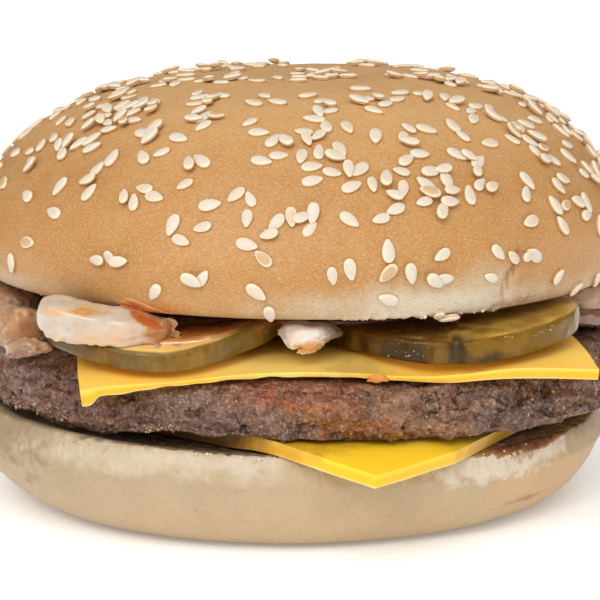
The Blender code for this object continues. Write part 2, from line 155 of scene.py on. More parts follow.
def nodeOf(tree, kind, inputs=None, **settings):
    node = tree.nodes.new(kind)
    for key, value in settings.items():
        setattr(node, key, value)
    for key, value in (inputs or {}).items():
        socket = node.inputs[key]
        if isinstance(value, bpy.types.NodeSocket):
            tree.links.new(value, socket)
        else:
            socket.default_value = value
    return node


def startMaterial(name, radius=None, **sockets):
    material = bpy.data.materials.new(name)
    material.use_nodes = True
    tree = material.node_tree
    shader = tree.nodes["Principled BSDF"]
    for key, value in sockets.items():
        shader.inputs[key.replace("_", " ")].default_value = value
    if radius:
        shader.inputs["Subsurface Radius"].default_value = radius
    coords = nodeOf(tree, "ShaderNodeTexCoord").outputs["Object"]
    return material, tree, shader, coords


def noiseOf(tree, coords, scale, detail=3.0, rough=0.55, stretch=(1, 1, 1), shift=(0, 0, 0), warp=0.0):
    mapped = nodeOf(tree, "ShaderNodeMapping", {"Vector": coords, "Location": shift, "Scale": stretch})
    inputs = {"Vector": mapped.outputs[0], "Scale": scale, "Detail": detail, "Roughness": rough, "Distortion": warp}
    return nodeOf(tree, "ShaderNodeTexNoise", inputs).outputs["Fac"]


def cellsOf(tree, coords, scale, stretch=(1, 1, 1), **settings):
    mapped = nodeOf(tree, "ShaderNodeMapping", {"Vector": coords, "Scale": stretch})
    cells = nodeOf(tree, "ShaderNodeTexVoronoi", {"Vector": mapped.outputs[0], "Scale": scale}, **settings)
    return cells.outputs["Distance"]


def spread(tree, value, low, high, toLow=0.0, toHigh=1.0):
    inputs = {"Value": value, "From Min": low, "From Max": high, "To Min": toLow, "To Max": toHigh}
    return nodeOf(tree, "ShaderNodeMapRange", inputs, interpolation_type="SMOOTHSTEP").outputs[0]


def mathOf(tree, operation, first, second=0.0):
    return nodeOf(tree, "ShaderNodeMath", {0: first, 1: second}, operation=operation).outputs[0]


def vectorOf(tree, operation, first, second):
    return nodeOf(tree, "ShaderNodeVectorMath", {0: first, 1: second}, operation=operation).outputs[0]


def tint(tree, share, first, second, mode="MIX"):
    node = nodeOf(tree, "ShaderNodeMix", data_type="RGBA", blend_type=mode)
    for index, value in ((0, share), (6, first), (7, second)):
        if isinstance(value, bpy.types.NodeSocket):
            tree.links.new(value, node.inputs[index])
        elif index == 0:
            node.inputs[index].default_value = value
        else:
            node.inputs[index].default_value = (*value, 1.0)
    return node.outputs[2]


def patchAt(tree, coords, centre, size, edge=0.35, ragged=0.0, grain=400.0):
    # 1 inside an ellipsoid of the given half sizes in mm, 0 outside, with a ragged edge
    away = vectorOf(tree, "SUBTRACT", coords, tuple(c * mm for c in centre))
    away = vectorOf(tree, "DIVIDE", away, tuple(s * mm for s in size))
    reach = nodeOf(tree, "ShaderNodeVectorMath", {0: away}, operation="LENGTH").outputs["Value"]
    if ragged:
        rough = noiseOf(tree, coords, grain, 3.0, 0.6, shift=(centre[0], centre[1], centre[2]))
        reach = mathOf(tree, "ADD", reach, spread(tree, rough, 0.25, 0.75, -ragged, ragged))
    return spread(tree, reach, 1.0 + edge, 1.0 - edge)


def stained(tree, coords, colour, stains):
    # stains, and patches of painted light and painted shade: centre, half sizes, edge, raggedness, grain, share,
    # colour
    for centre, size, edge, ragged, grain, share, stain in stains:
        patch = patchAt(tree, coords, centre, size, edge, ragged, grain)
        colour = tint(tree, mathOf(tree, "MULTIPLY", patch, share), colour, stain)
    return colour


def levelOf(tree, coords):
    return nodeOf(tree, "ShaderNodeSeparateXYZ", {0: coords}).outputs["Z"]


def bumpOf(tree, height, strength, distance, normal=None):
    inputs = {"Height": height, "Strength": strength, "Distance": distance * mm}
    if normal is not None:
        inputs["Normal"] = normal
    return nodeOf(tree, "ShaderNodeBump", inputs).outputs[0]


def startTree(name, numbers, material):
    tree = bpy.data.node_groups.new(name, "GeometryNodeTree")
    tree.interface.new_socket("Geometry", in_out="INPUT", socket_type="NodeSocketGeometry")
    for label in numbers:
        tree.interface.new_socket(label, in_out="INPUT", socket_type="NodeSocketFloat")
    tree.interface.new_socket(material, in_out="INPUT", socket_type="NodeSocketMaterial")
    tree.interface.new_socket("Geometry", in_out="OUTPUT", socket_type="NodeSocketGeometry")
    return tree, nodeOf(tree, "NodeGroupInput").outputs


def endTree(tree, geometry, material):
    real = nodeOf(tree, "GeometryNodeRealizeInstances", {0: geometry}).outputs[0]
    done = nodeOf(tree, "GeometryNodeSetMaterial", {"Geometry": real, "Material": material}).outputs[0]
    nodeOf(tree, "NodeGroupOutput", {0: done})
    return tree


def useTree(piece, tree, values):
    # inputs are set by identifier, before the first evaluation
    modifier = piece.modifiers.new(tree.name, "NODES")
    modifier.node_group = tree
    for item in tree.interface.items_tree:
        if item.in_out == "INPUT" and item.name in values:
            modifier[item.identifier] = values[item.name]


# Heights of the layers, shared by the pieces that touch

heelForm = {
    "radius": 51.2 * mm, "footRadius": 35.5 * mm, "footShift": (1.8 * mm, -2.6 * mm), "rimRadius": 50.0 * mm,
    "bellyHeight": 11.0 * mm, "height": 14.7 * mm, "slope": -0.012, "sink": 0.75 * mm, "sinkStart": 6.0 * mm,
    "sinkWidth": 40.0 * mm, "rimLift": 0.15 * mm, "rimSwing": 1.3 * mm, "rimAngle": math.radians(200),
    "rimStart": 44.0 * mm, "rimWidth": 6.0 * mm,
}
sliceForm = {
    "side": 74.5 * mm, "thickness": 2.15 * mm, "droopReach": 13.0 * mm,
    "lowerCentre": (5.7 * mm, -5.8 * mm), "lowerTurn": math.radians(53.0), "lowerBend": 46.5 * mm,
    "lowerDroop": 2.6 * mm, "lowerPower": 1.1, "bulgeLeft": 1.3 * mm, "bulgeRight": 2.2 * mm,
    "meltRadius": 49.0 * mm, "meltShare": 0.7,
    "upperCentre": (4.5 * mm, -9.7 * mm), "upperTurn": math.radians(6.5), "upperBend": 43.0 * mm,
    "droopLeft": 2.1 * mm, "droopRight": 0.8 * mm, "upperPower": 1.5,
}
pattyForm = {
    "centreX": 2.6 * mm, "radius": 51.0 * mm, "thickness": 8.25 * mm, "hang": 0.9, "sag": 0.6 * mm,
    "sagAngle": math.radians(222), "sagWidth": math.radians(26), "dip": 1.2 * mm, "dipX": 20.0 * mm,
    "dipWidth": 10.0 * mm, "wave": 1.1 * mm, "crag": 1.1 * mm, "settled": 1.7 * mm,
}


def rimCurl(x, y):
    curl = heelForm["rimLift"] + heelForm["rimSwing"] * math.cos(math.atan2(y, x) - heelForm["rimAngle"])
    return max(curl, 0.0) * smoothStep(math.hypot(x, y), heelForm["rimStart"], heelForm["rimWidth"])


def heelLevel(x):
    sunk = heelForm["sink"] * smoothStep(x, heelForm["sinkStart"], heelForm["sinkWidth"])
    return heelForm["height"] + heelForm["slope"] * x - sunk


def heelTop(x, y):
    return heelLevel(x) + rimCurl(x, y)


def rimDroop(x, y):
    past = max(math.hypot(x, y) - sliceForm["lowerBend"], 0.0)
    return sliceForm["lowerDroop"] * (past / sliceForm["droopReach"]) ** sliceForm["lowerPower"]


def lowerSliceBase(x, y):
    return heelTop(x, y) + 1.5 * gap - rimDroop(x, y)


def pattyBase(x, y):
    angle = math.atan2(y, x)
    near = max(0.0, 1.0 - (angleBetween(angle, pattyForm["sagAngle"]) / pattyForm["sagWidth"]) ** 2)
    radius = pattyForm["radius"]
    sag = pattyForm["sag"] * near * smoothStep(math.hypot(x, y), 0.8 * radius, 0.15 * radius)
    lifted = max(rimCurl(x, y), 0.0) * max(-math.cos(angle), 0.0) ** 4
    level = heelLevel(x) + lifted + sliceForm["thickness"] + 2.9 * gap
    return level - sag - pattyForm["hang"] * rimDroop(x, y)


def pattyTop(x, y):
    dip = pattyForm["dip"] * bell(x, pattyForm["dipX"], pattyForm["dipWidth"])
    dip *= smoothStep(-y, 0.7 * pattyForm["radius"], 0.2 * pattyForm["radius"])
    return heelForm["height"] + sliceForm["thickness"] + 2.9 * gap + pattyForm["thickness"] - dip


def upperSliceBase(x, y):
    past = max(math.hypot(x - pattyForm["centreX"], y) - sliceForm["upperBend"], 0.0)
    right = smoothStep(x, -0.5 * pattyForm["radius"], pattyForm["radius"])
    droop = sliceForm["droopLeft"] + (sliceForm["droopRight"] - sliceForm["droopLeft"]) * right
    return pattyTop(x, y) + 1.1 * gap - droop * (past / sliceForm["droopReach"]) ** sliceForm["upperPower"]


# Heel: pale torn crumb above, soft baked crust below

heelLook = {
    "steps": 640, "row": 0.4 * mm, "lump": 0.25 * mm, "lumpSize": 11.0 * mm, "pore": 0.06 * mm,
    "crack": 0.24 * mm, "crackWidth": 0.75 * mm, "crackHeight": 3.4 * mm, "notch": 0.5 * mm,
    "crumb": (0.468, 0.360, 0.230), "crust": (0.515, 0.382, 0.23), "white": (0.66, 0.572, 0.45),
    # the next colour is juice-soaked brown, darkened further as painted shade for the gap under the patty
    "juiceAndShade": (0.20, 0.098, 0.043),
}


def heelProfile():
    form = heelForm
    rim, high = form["rimRadius"], form["height"]
    upper = [(0.0, high), (0.86 * form["radius"], high), (rim - 1.1 * mm, high), (rim - 0.3 * mm, high - 0.15 * mm),
             (rim + 0.1 * mm, high - 0.9 * mm), (form["radius"], form["bellyHeight"])]
    side = []
    for row in range(1, 41):
        swing = 0.5 * math.pi * (1.0 - row / 40)
        radius = form["footRadius"] + (form["radius"] - form["footRadius"]) * math.sin(swing) ** 0.8
        side.append((radius, form["bellyHeight"] * (1.0 - math.cos(swing) ** 2)))
    line = softLine(upper[1:] + side[6:38:3] + side[-1:], 2)

    def spacing(point):
        if point[0] > 0.86 * form["rimRadius"]:
            return heelLook["row"]
        return 4.0 * mm if point[1] > 0.9 * high or point[0] < 0.95 * form["footRadius"] else 0.8 * mm

    return evenLine(upper[:1] + line + [(0.5 * form["footRadius"], 0.0), (0.0, 0.0)], spacing)


def tornCracks(around, z):
    # short upright cracks in the torn crumb of the upper band
    look = heelLook
    fine = noise.noise(Vector((around / look["crackWidth"], z / look["crackHeight"], 3.3)))
    where = noise.noise(Vector((around / (6.0 * mm), z / (3.0 * mm), 5.1)))
    return -look["crack"] * smoothStep(-fine, 0.05, 0.45) * smoothStep(where, -0.25, 0.45)


def heelPlace(x, y, z):
    form, look = heelForm, heelLook
    angle, radius = math.atan2(y, x), math.hypot(x, y)
    low = 1.0 - min(z / form["bellyHeight"], 1.0)
    scale = 1.0 + 0.005 * math.sin(2.0 * angle + 0.6) + 0.004 * math.sin(3.0 * angle + 2.1)
    side = smoothStep(radius, 0.7 * form["footRadius"], 0.25 * form["footRadius"]) * smoothStep(z, 0.2 * mm, 1.5 * mm)
    around = angle * form["radius"]
    lump = look["lump"] * wave(x, y, z, look["lumpSize"], 1.7) + look["pore"] * wave(x, y, z, 2.2 * mm, 4.1)
    upper = smoothStep(z, form["bellyHeight"] - 2.0 * mm, 2.5 * mm)
    upper *= smoothStep(radius, 0.9 * form["radius"], 3.0 * mm)
    torn = noise.noise(Vector((around / (2.4 * mm), z / (1.6 * mm), 8.3)))
    torn += 0.5 * noise.noise(Vector((around / (0.9 * mm), z / (0.9 * mm), 2.3)))
    # one long shallow fold runs low on the right, and a blister lies beside it
    fold = bell(z, 5.0 * mm + 0.06 * (x - 38.0 * mm), 0.45 * mm) * bell(angle, math.radians(-40), math.radians(7))
    blister = bell(z, 2.9 * mm, 0.7 * mm) * bell(angle, math.radians(-52), math.radians(4))
    out = side * lump + upper * (tornCracks(around, z) + 0.13 * mm * torn) + 0.3 * mm * (blister - fold)
    scale += out / form["radius"]
    x, y = x * scale + form["footShift"][0] * low, y * scale + form["footShift"][1] * low
    lifted = smoothStep(z, 0.8 * form["bellyHeight"], form["height"] - form["bellyHeight"])
    notch = look["notch"] * smoothStep(torn, 0.25, 0.5) * smoothStep(z, form["height"] - 1.0 * mm, 0.8 * mm)
    notch *= smoothStep(radius, form["rimRadius"] - 3.5 * mm, 2.0 * mm)
    rough = 0.12 * mm * upper * torn
    return Vector((x, y, z + (heelTop(x, y) - form["height"]) * lifted + rough - notch))


def heelMaterial():
    look = heelLook
    material, tree, shader, coords = startMaterial(
        "toastedHeel", (1.0, 0.6, 0.3), Subsurface_Weight=0.10, Subsurface_Scale=0.0015, Specular_IOR_Level=0.3)
    level = levelOf(tree, coords)
    soft = noiseOf(tree, coords, 110.0, 3.0, 0.55)
    fine = noiseOf(tree, coords, 1700.0, 3.0, 0.6)
    streak = noiseOf(tree, coords, 650.0, 3.0, 0.6, stretch=(1, 1, 0.2))
    pores = cellsOf(tree, coords, 420.0)
    edge = mathOf(tree, "ADD", level, spread(tree, soft, 0.3, 0.7, -2.0 * mm, 2.0 * mm))
    edge = mathOf(tree, "ADD", edge, spread(tree, streak, 0.3, 0.7, -1.0 * mm, 1.0 * mm))
    colour = tint(tree, spread(tree, edge, 2.5 * mm, 12.0 * mm), look["crust"], look["crumb"])
    colour = stained(tree, coords, colour, [
        ((43, -30, 6.6), (13, 14, 4.6), 0.45, 0.35, 170.0, 0.8, (0.60, 0.385, 0.20)),
        ((33, -38, 12.4), (15, 14, 3.0), 0.30, 0.35, 420.0, 0.9, look["white"]),
        ((-21, -42, 14.4), (22, 13, 2.2), 0.6, 0.7, 260.0, 0.45, look["white"]),
        ((-9, -50, 14.3), (10, 6, 0.9), 0.5, 0.6, 420.0, 0.35, look["white"]),
        ((-37, -34, 15.6), (9, 9, 1.1), 0.7, 0.8, 520.0, 0.65, (0.36, 0.27, 0.165)),
        ((-43, -28, 15.0), (8, 11, 6.5), 0.6, 0.9, 320.0, 0.75, (0.31, 0.220, 0.130)),
        ((38.5, -33.5, 4.6), (5.0, 4.6, 0.45), 0.6, 0.5, 500.0, 0.6, (0.36, 0.15, 0.05)),
        ((30.5, -40.5, 3.0), (2.6, 2.2, 0.7), 0.4, 0.3, 500.0, 0.8, (0.72, 0.60, 0.42)),
        ((36.5, -35.5, 12.6), (2.4, 3.0, 1.0), 0.5, 0.9, 900.0, 0.7, (0.36, 0.25, 0.15)),
        ((46, -22, 12.2), (2.0, 3.0, 1.2), 0.5, 0.7, 900.0, 0.5, (0.42, 0.29, 0.18)),
        ((-10, 46, 8.0), (26, 12, 5.0), 0.5, 0.4, 160.0, 0.5, (0.57, 0.34, 0.16)),
    ])
    colour = tint(tree, spread(tree, fine, 0.40, 0.75, 0.0, 0.35), colour, (0.86, 0.76, 0.62), "MULTIPLY")
    colour = tint(tree, spread(tree, soft, 0.4, 0.7, 0.0, 0.25), colour, (0.86, 0.78, 0.66), "MULTIPLY")
    # the cut face has soaked up juice, nearly to the rim; its dark brown is also painted shade for the gap under the
    # patty
    normal = nodeOf(tree, "ShaderNodeNewGeometry").outputs["Normal"]
    up = nodeOf(tree, "ShaderNodeSeparateXYZ", {0: normal}).outputs["Z"]
    up = mathOf(tree, "ADD", up, spread(tree, streak, 0.3, 0.7, -0.12, 0.12))
    across = nodeOf(tree, "ShaderNodeSeparateXYZ", {0: coords}).outputs["X"]
    soaked = mathOf(tree, "MULTIPLY", spread(tree, up, 0.84, 0.99, 0.0, 0.9),
                    spread(tree, across, -32.0 * mm, -18.0 * mm, 0.15, 1.0))
    colour = tint(tree, soaked, colour, look["juiceAndShade"])
    high = spread(tree, level, 9.5 * mm, 12.5 * mm)
    slit = mathOf(tree, "MULTIPLY", spread(tree, streak, 0.43, 0.30), high)
    colour = tint(tree, mathOf(tree, "MULTIPLY", slit, 0.45), colour, (0.42, 0.29, 0.17))
    dots = mathOf(tree, "MULTIPLY", spread(tree, pores, 0.16, 0.05), 0.22)
    colour = tint(tree, dots, colour, (0.34, 0.21, 0.11))
    tree.links.new(colour, shader.inputs["Base Color"])
    tree.links.new(spread(tree, level, 8.0 * mm, 12.0 * mm, 0.52, 0.8), shader.inputs["Roughness"])
    grain = bumpOf(tree, fine, 0.5, 0.16)
    grain = bumpOf(tree, pores, 0.15, 0.2, grain)
    slits = bumpOf(tree, mathOf(tree, "MULTIPLY", streak, high), 0.8, 0.5, grain)
    tree.links.new(slits, shader.inputs["Normal"])
    return material


heelMesh = turnedMesh("heelBread", heelProfile(), heelLook["steps"], heelPlace)
heel = finishPiece(addPiece("heelBread", heelMesh, heelMaterial()), "bun_heel", "heel")
print("heel done")


# Cheese: two soft square slices

cheeseLook = {
    # line is a paler line along the lower edge, a painted highlight
    "cells": 120, "edge": 0.7 * mm, "ripple": 0.12 * mm, "pale": (0.88, 0.63, 0.22), "line": (0.93, 0.76, 0.42),
    # the top colours are paler than the sides: painted sheen on the upper slice, painted light on the lower slice
    # under the patty
    "upperSide": (0.84, 0.44, 0.006), "upperTopSheen": (1.0, 0.61, 0.09),
    "lowerSide": (0.94, 0.52, 0.004), "lowerTopLit": (1.0, 0.63, 0.025),
}


def unchanged(x, y):
    return x, y


def bulged(u, v):
    half = 0.5 * sliceForm["side"]
    right = math.sin(math.pi * (u + 1.0)) if u < 0.0 else 0.0
    left = math.sin(math.pi * (v + 1.0)) if v < 0.0 else 0.0
    outU = sliceForm["bulgeLeft"] / half * left * (0.5 - 0.5 * u) ** 2
    outV = sliceForm["bulgeRight"] / half * right * (0.5 - 0.5 * v) ** 2
    return u - outU, v - outV


def meltedBack(x, y):
    radius = math.hypot(x, y)
    side = smoothStep(math.atan2(y, x), math.radians(-62), math.radians(22))
    past = max(radius - sliceForm["meltRadius"], 0.0) * sliceForm["meltShare"] * side
    return x * (1.0 - past / max(radius, mm)), y * (1.0 - past / max(radius, mm))


def noDrip(x, y):
    return 0.0


def upperDrip(x, y):
    # the front left corner hangs in a nub, and the rest of the front edge is thinner and a little uneven
    nub = 1.0 * mm * (1.0 - smoothStep(math.hypot(x + 28.0 * mm, y + 50.6 * mm), 0.9 * mm, 1.4 * mm))
    front = smoothStep(-y, 42.0 * mm, 3.0 * mm) * (1.0 - smoothStep(x, 17.0 * mm, 9.0 * mm))
    return nub + front * mm * (0.22 * wave(x, 0.0, 0.0, 3.0 * mm, 3.0) - 0.5)


def noSag(x, y):
    return 0.0


def upperSag(x, y):
    # the top falls away toward the front edge
    dx, dy = x - sliceForm["upperCentre"][0], y - sliceForm["upperCentre"][1]
    turn = sliceForm["upperTurn"]
    near = smoothStep(dx * math.sin(turn) - dy * math.cos(turn), 0.38 * sliceForm["side"], 0.12 * sliceForm["side"])
    along = smoothStep(x, -27.0 * mm, 13.0 * mm) * (1.0 - 0.45 * smoothStep(x, 26.0 * mm, 10.0 * mm))
    return 0.85 * mm * near * along


def makeSlice(name, centre, turn, bulge, melt, height, drip, sag, material, node):
    cells, half = cheeseLook["cells"], 0.5 * sliceForm["side"]
    form = bmesh.new()
    bmesh.ops.create_grid(form, x_segments=cells, y_segments=cells, size=1.0)
    for vertex in form.verts:
        u, v = bulge(math.sin(0.5 * math.pi * vertex.co.x), math.sin(0.5 * math.pi * vertex.co.y))
        u += 0.22 * mm / half * wave(u * half, v * half, 0.0, 9.0 * mm, 2.0)
        v += 0.22 * mm / half * wave(u * half, v * half, 0.0, 8.0 * mm, 4.0)
        x = centre[0] + half * (u * math.cos(turn) - v * math.sin(turn))
        y = centre[1] + half * (u * math.sin(turn) + v * math.cos(turn))
        x, y = melt(x, y)
        rise = cheeseLook["ripple"] * wave(x, y, 0.0, 12.0 * mm, 6.0)
        vertex.co = (x, y, height(x, y) + max(rise, -0.05 * mm))
    piece = addPiece(name, meshFrom(name, form), material)
    wall = piece.modifiers.new("Thickness", "SOLIDIFY")
    wall.thickness = sliceForm["thickness"] - 0.1 * mm
    wall.offset = 1.0
    rounding = piece.modifiers.new("Edge", "BEVEL")
    rounding.width = cheeseLook["edge"]
    rounding.segments = 4
    rounding.limit_method = "ANGLE"
    rounding.angle_limit = math.radians(50)
    mesh = settle(piece).data
    lift = mesh.attributes.new("lift", "FLOAT", "POINT")
    for vertex, item in zip(mesh.vertices, lift.data):
        x, y, z = vertex.co
        item.value = (z - height(x, y)) / sliceForm["thickness"]
        vertex.co.z = z - drip(x, y) * (1.0 - smoothStep(item.value, 0.05, 0.7))
        vertex.co.z -= sag(x, y) * smoothStep(item.value, 0.35, 0.5)
    mesh.update()
    flat = mesh.attributes.new("flat", "FLOAT", "POINT")
    for vertex, item in zip(mesh.vertices, flat.data):
        item.value = smoothStep(abs(vertex.normal.z), 0.45, 0.5)
    return finishPiece(piece, "cheese", node)


def cheeseMaterial(name, side, top, stains):
    material, tree, shader, coords = startMaterial(
        name, (1.0, 0.6, 0.15), Subsurface_Weight=0.15, Subsurface_Scale=0.0012, Specular_IOR_Level=0.4)
    flat = nodeOf(tree, "ShaderNodeAttribute", attribute_name="flat").outputs["Fac"]
    broad = noiseOf(tree, coords, 90.0, 2.0, 0.5)
    fine = noiseOf(tree, coords, 800.0, 3.0, 0.6)
    lift = nodeOf(tree, "ShaderNodeAttribute", attribute_name="lift").outputs["Fac"]
    # the top colour goes on the flat top and up the side, so the tops carry painted sheen and painted light
    shade = tint(tree, spread(tree, lift, 0.45, 0.95), side, top)
    shade = tint(tree, flat, shade, top)
    shade = tint(tree, spread(tree, broad, 0.45, 0.75, 0.0, 0.15), shade, cheeseLook["pale"])
    # painted highlight: a paler line along the lower edge
    shade = tint(tree, spread(tree, lift, 0.16, 0.08, 0.0, 0.35), shade, cheeseLook["line"])
    shade = stained(tree, coords, shade, stains)
    shade = tint(tree, spread(tree, fine, 0.5, 0.8, 0.0, 0.10), shade, (0.92, 0.82, 0.6), "MULTIPLY")
    tree.links.new(shade, shader.inputs["Base Color"])
    tree.links.new(spread(tree, broad, 0.3, 0.7, 0.30, 0.42), shader.inputs["Roughness"])
    tree.links.new(bumpOf(tree, broad, 0.25, 0.6, bumpOf(tree, fine, 0.08, 0.06)), shader.inputs["Normal"])
    return material


brownFat = (0.42, 0.19, 0.025)
lowerCheese = cheeseMaterial("lowerCheese", cheeseLook["lowerSide"], cheeseLook["lowerTopLit"], [
    ((-42, -26, 18.0), (19, 22, 7.0), 0.35, 0.30, 300.0, 0.92, (0.50, 0.38, 0.22)),
    # painted shadow under the patty's edge, in the next two patches
    ((-16, -43, 17.5), (13, 18, 6.0), 0.35, 0.15, 300.0, 0.96, (0.20, 0.080, 0.022)),
    ((33, -40, 15.4), (8.5, 9, 4.0), 0.55, 0.2, 300.0, 0.75, (0.36, 0.19, 0.03)),
    ((2, -49, 16.4), (8, 4, 1.6), 0.55, 0.4, 300.0, 0.6, (0.45, 0.20, 0.015)),
])
upperCheese = cheeseMaterial("upperCheese", cheeseLook["upperSide"], cheeseLook["upperTopSheen"], [
    # painted light, brightening the shaded middle of the top
    ((5, -46, 28.4), (21, 8, 2.1), 0.4, 0.2, 250.0, 0.8, (1.0, 0.72, 0.20)),
    ((12, -48, 25.1), (14, 6, 0.5), 0.5, 0.35, 350.0, 0.6, brownFat),
    ((12, -46, 27.1), (5, 4, 0.8), 0.5, 0.4, 350.0, 0.35, brownFat),
    # painted light on the top at the right
    ((40, -36, 29.3), (12, 9, 1.6), 0.5, 0.2, 150.0, 0.5, (1.0, 0.72, 0.22)),
])
makeSlice("cheeseLower", sliceForm["lowerCentre"], sliceForm["lowerTurn"], bulged, meltedBack,
          lowerSliceBase, noDrip, noSag, lowerCheese, "cheese_lower")
makeSlice("cheeseUpper", sliceForm["upperCentre"], sliceForm["upperTurn"], unchanged, unchanged,
          upperSliceBase, upperDrip, upperSag, upperCheese, "cheese_upper")
print("cheese done")


# Patty: grains, crevices and folds by Geometry Nodes, over the settled form

pattyLook = {
    "steps": 820, "row": 0.26 * mm, "Lump Size": 3.8, "Lump Depth": 5.0, "Grain Size": 1.1, "Grain Depth": 0.8,
    "Bead Size": 0.5, "Bead Depth": 0.42, "Crevice Depth": 1.1, "Rule": 4.0,
}


def pattyProfile():
    points = [(0.0, 1.0), (0.45, 1.0), (0.76, 1.0), (0.87, 0.99)]
    for degrees in (62, 38, 14):
        swing = math.radians(degrees)
        points.append((0.9 + 0.1 * math.cos(swing) ** 0.9, 0.5 + 0.5 * math.sin(swing)))
    for degrees in (-10, -34, -60):
        swing = math.radians(degrees)
        points.append((0.93 + 0.07 * math.cos(swing) ** 0.7, 0.5 - 0.5 * abs(math.sin(swing)) ** 0.8))
    points += [(0.93, 0.01), (0.72, 0.0), (0.4, 0.0), (0.0, 0.0)]
    radius, thickness = pattyForm["radius"], pattyForm["thickness"]
    line = softLine([(r * radius, z * thickness) for r, z in points], 2)

    def spacing(point):
        if point[0] > 0.89 * radius:
            return pattyLook["row"]
        return 1.4 * mm if point[0] > 0.8 * radius else 4.0 * mm

    return evenLine(line, spacing)


def pattyPlace(x, y, z):
    form = pattyForm
    level = z / form["thickness"]
    edge = smoothStep(math.hypot(x, y), 0.86 * form["radius"], 0.1 * form["radius"])
    angle = math.atan2(y, x)
    swell = form["wave"] * wave(math.cos(angle), math.sin(angle), 0.0, 0.55, 3.0)
    crag = form["crag"] * wave(x, y, 6.0 * level * form["thickness"], 7.0 * mm, 8.0)
    scale = 1.0 + edge * (swell + crag) / form["radius"]
    x, y = x * scale + form["centreX"], y * scale
    base, top = pattyBase(x, y), pattyTop(x, y)
    # at the front left the lower edge has settled on the heel
    turn = angle % (2.0 * math.pi)
    settled = smoothStep(turn, math.radians(186), math.radians(14))
    settled *= 1.0 - smoothStep(turn, math.radians(233), math.radians(14))
    base -= form["settled"] * settled * edge
    return Vector((x, y, base + (top - base) * level))


def cragTree():
    numbers = [label for label in pattyLook if label[0].isupper()]
    tree, given = startTree("meatCrags", numbers, "Meat")
    place = nodeOf(tree, "GeometryNodeInputPosition").outputs[0]
    inMm = vectorOf(tree, "ADD", vectorOf(tree, "MULTIPLY", place, (1000.0,) * 3), given["Rule"])

    def field(scale, detail, rough=0.55, where=inMm):
        inputs = {"Vector": where, "Scale": scale, "Detail": detail, "Roughness": rough}
        return nodeOf(tree, "ShaderNodeTexNoise", inputs).outputs

    def perSize(label):
        return mathOf(tree, "DIVIDE", 1.0, given[label])

    def about(value, middle, depth):
        return mathOf(tree, "MULTIPLY", mathOf(tree, "SUBTRACT", value, middle), given[depth])

    def grainsOf(size, depth, where, smooth):
        cells = {"Vector": where, "Scale": perSize(size), "Smoothness": smooth}
        cells = nodeOf(tree, "ShaderNodeTexVoronoi", cells, feature="SMOOTH_F1").outputs["Distance"]
        return about(mathOf(tree, "MULTIPLY", cells, -1.0), -0.4, depth)

    bent = vectorOf(tree, "ADD", inMm, vectorOf(tree, "MULTIPLY", field(0.45, 2.0)["Color"], (2.2, 2.2, 2.2)))
    lumps = about(field(perSize("Lump Size"), 4.0, 0.55, bent)["Fac"], 0.5, "Lump Depth")
    grainy = spread(tree, field(0.16, 2.0)["Fac"], 0.40, 0.62, 0.25, 1.3)
    grains = mathOf(tree, "MULTIPLY", grainsOf("Grain Size", "Grain Depth", bent, 0.5), grainy)
    beads = mathOf(tree, "MULTIPLY", grainsOf("Bead Size", "Bead Depth", bent, 0.4), grainy)
    split = mathOf(tree, "ABSOLUTE", mathOf(tree, "SUBTRACT", field(0.17, 4.0, 0.6, bent)["Fac"], 0.5))
    sparse = spread(tree, field(0.09, 1.0)["Fac"], 0.44, 0.58)
    split = mathOf(tree, "MULTIPLY", mathOf(tree, "MULTIPLY", spread(tree, split, 0.022, 0.0), sparse),
                   given["Crevice Depth"])
    rise = mathOf(tree, "SUBTRACT", mathOf(tree, "ADD", mathOf(tree, "ADD", lumps, grains), beads), split)
    normal = nodeOf(tree, "GeometryNodeInputNormal").outputs[0]
    flat = mathOf(tree, "ABSOLUTE", nodeOf(tree, "ShaderNodeSeparateXYZ", {0: normal}).outputs["Z"])
    held = mathOf(tree, "MULTIPLY", spread(tree, flat, 0.75, 1.0, 1.0, 0.3), mm)
    offset = {0: normal, 3: mathOf(tree, "MULTIPLY", rise, held)}
    offset = nodeOf(tree, "ShaderNodeVectorMath", offset, operation="SCALE").outputs[0]
    shaped = nodeOf(tree, "GeometryNodeSetPosition", {"Geometry": given["Geometry"], "Offset": offset}).outputs[0]
    relief = mathOf(tree, "SUBTRACT", rise, mathOf(tree, "MULTIPLY", lumps, 0.5))
    stored = {"Geometry": shaped, "Name": "relief", "Value": relief}
    stored = nodeOf(tree, "GeometryNodeStoreNamedAttribute", stored, data_type="FLOAT", domain="POINT").outputs[0]
    return endTree(tree, stored, given["Meat"])


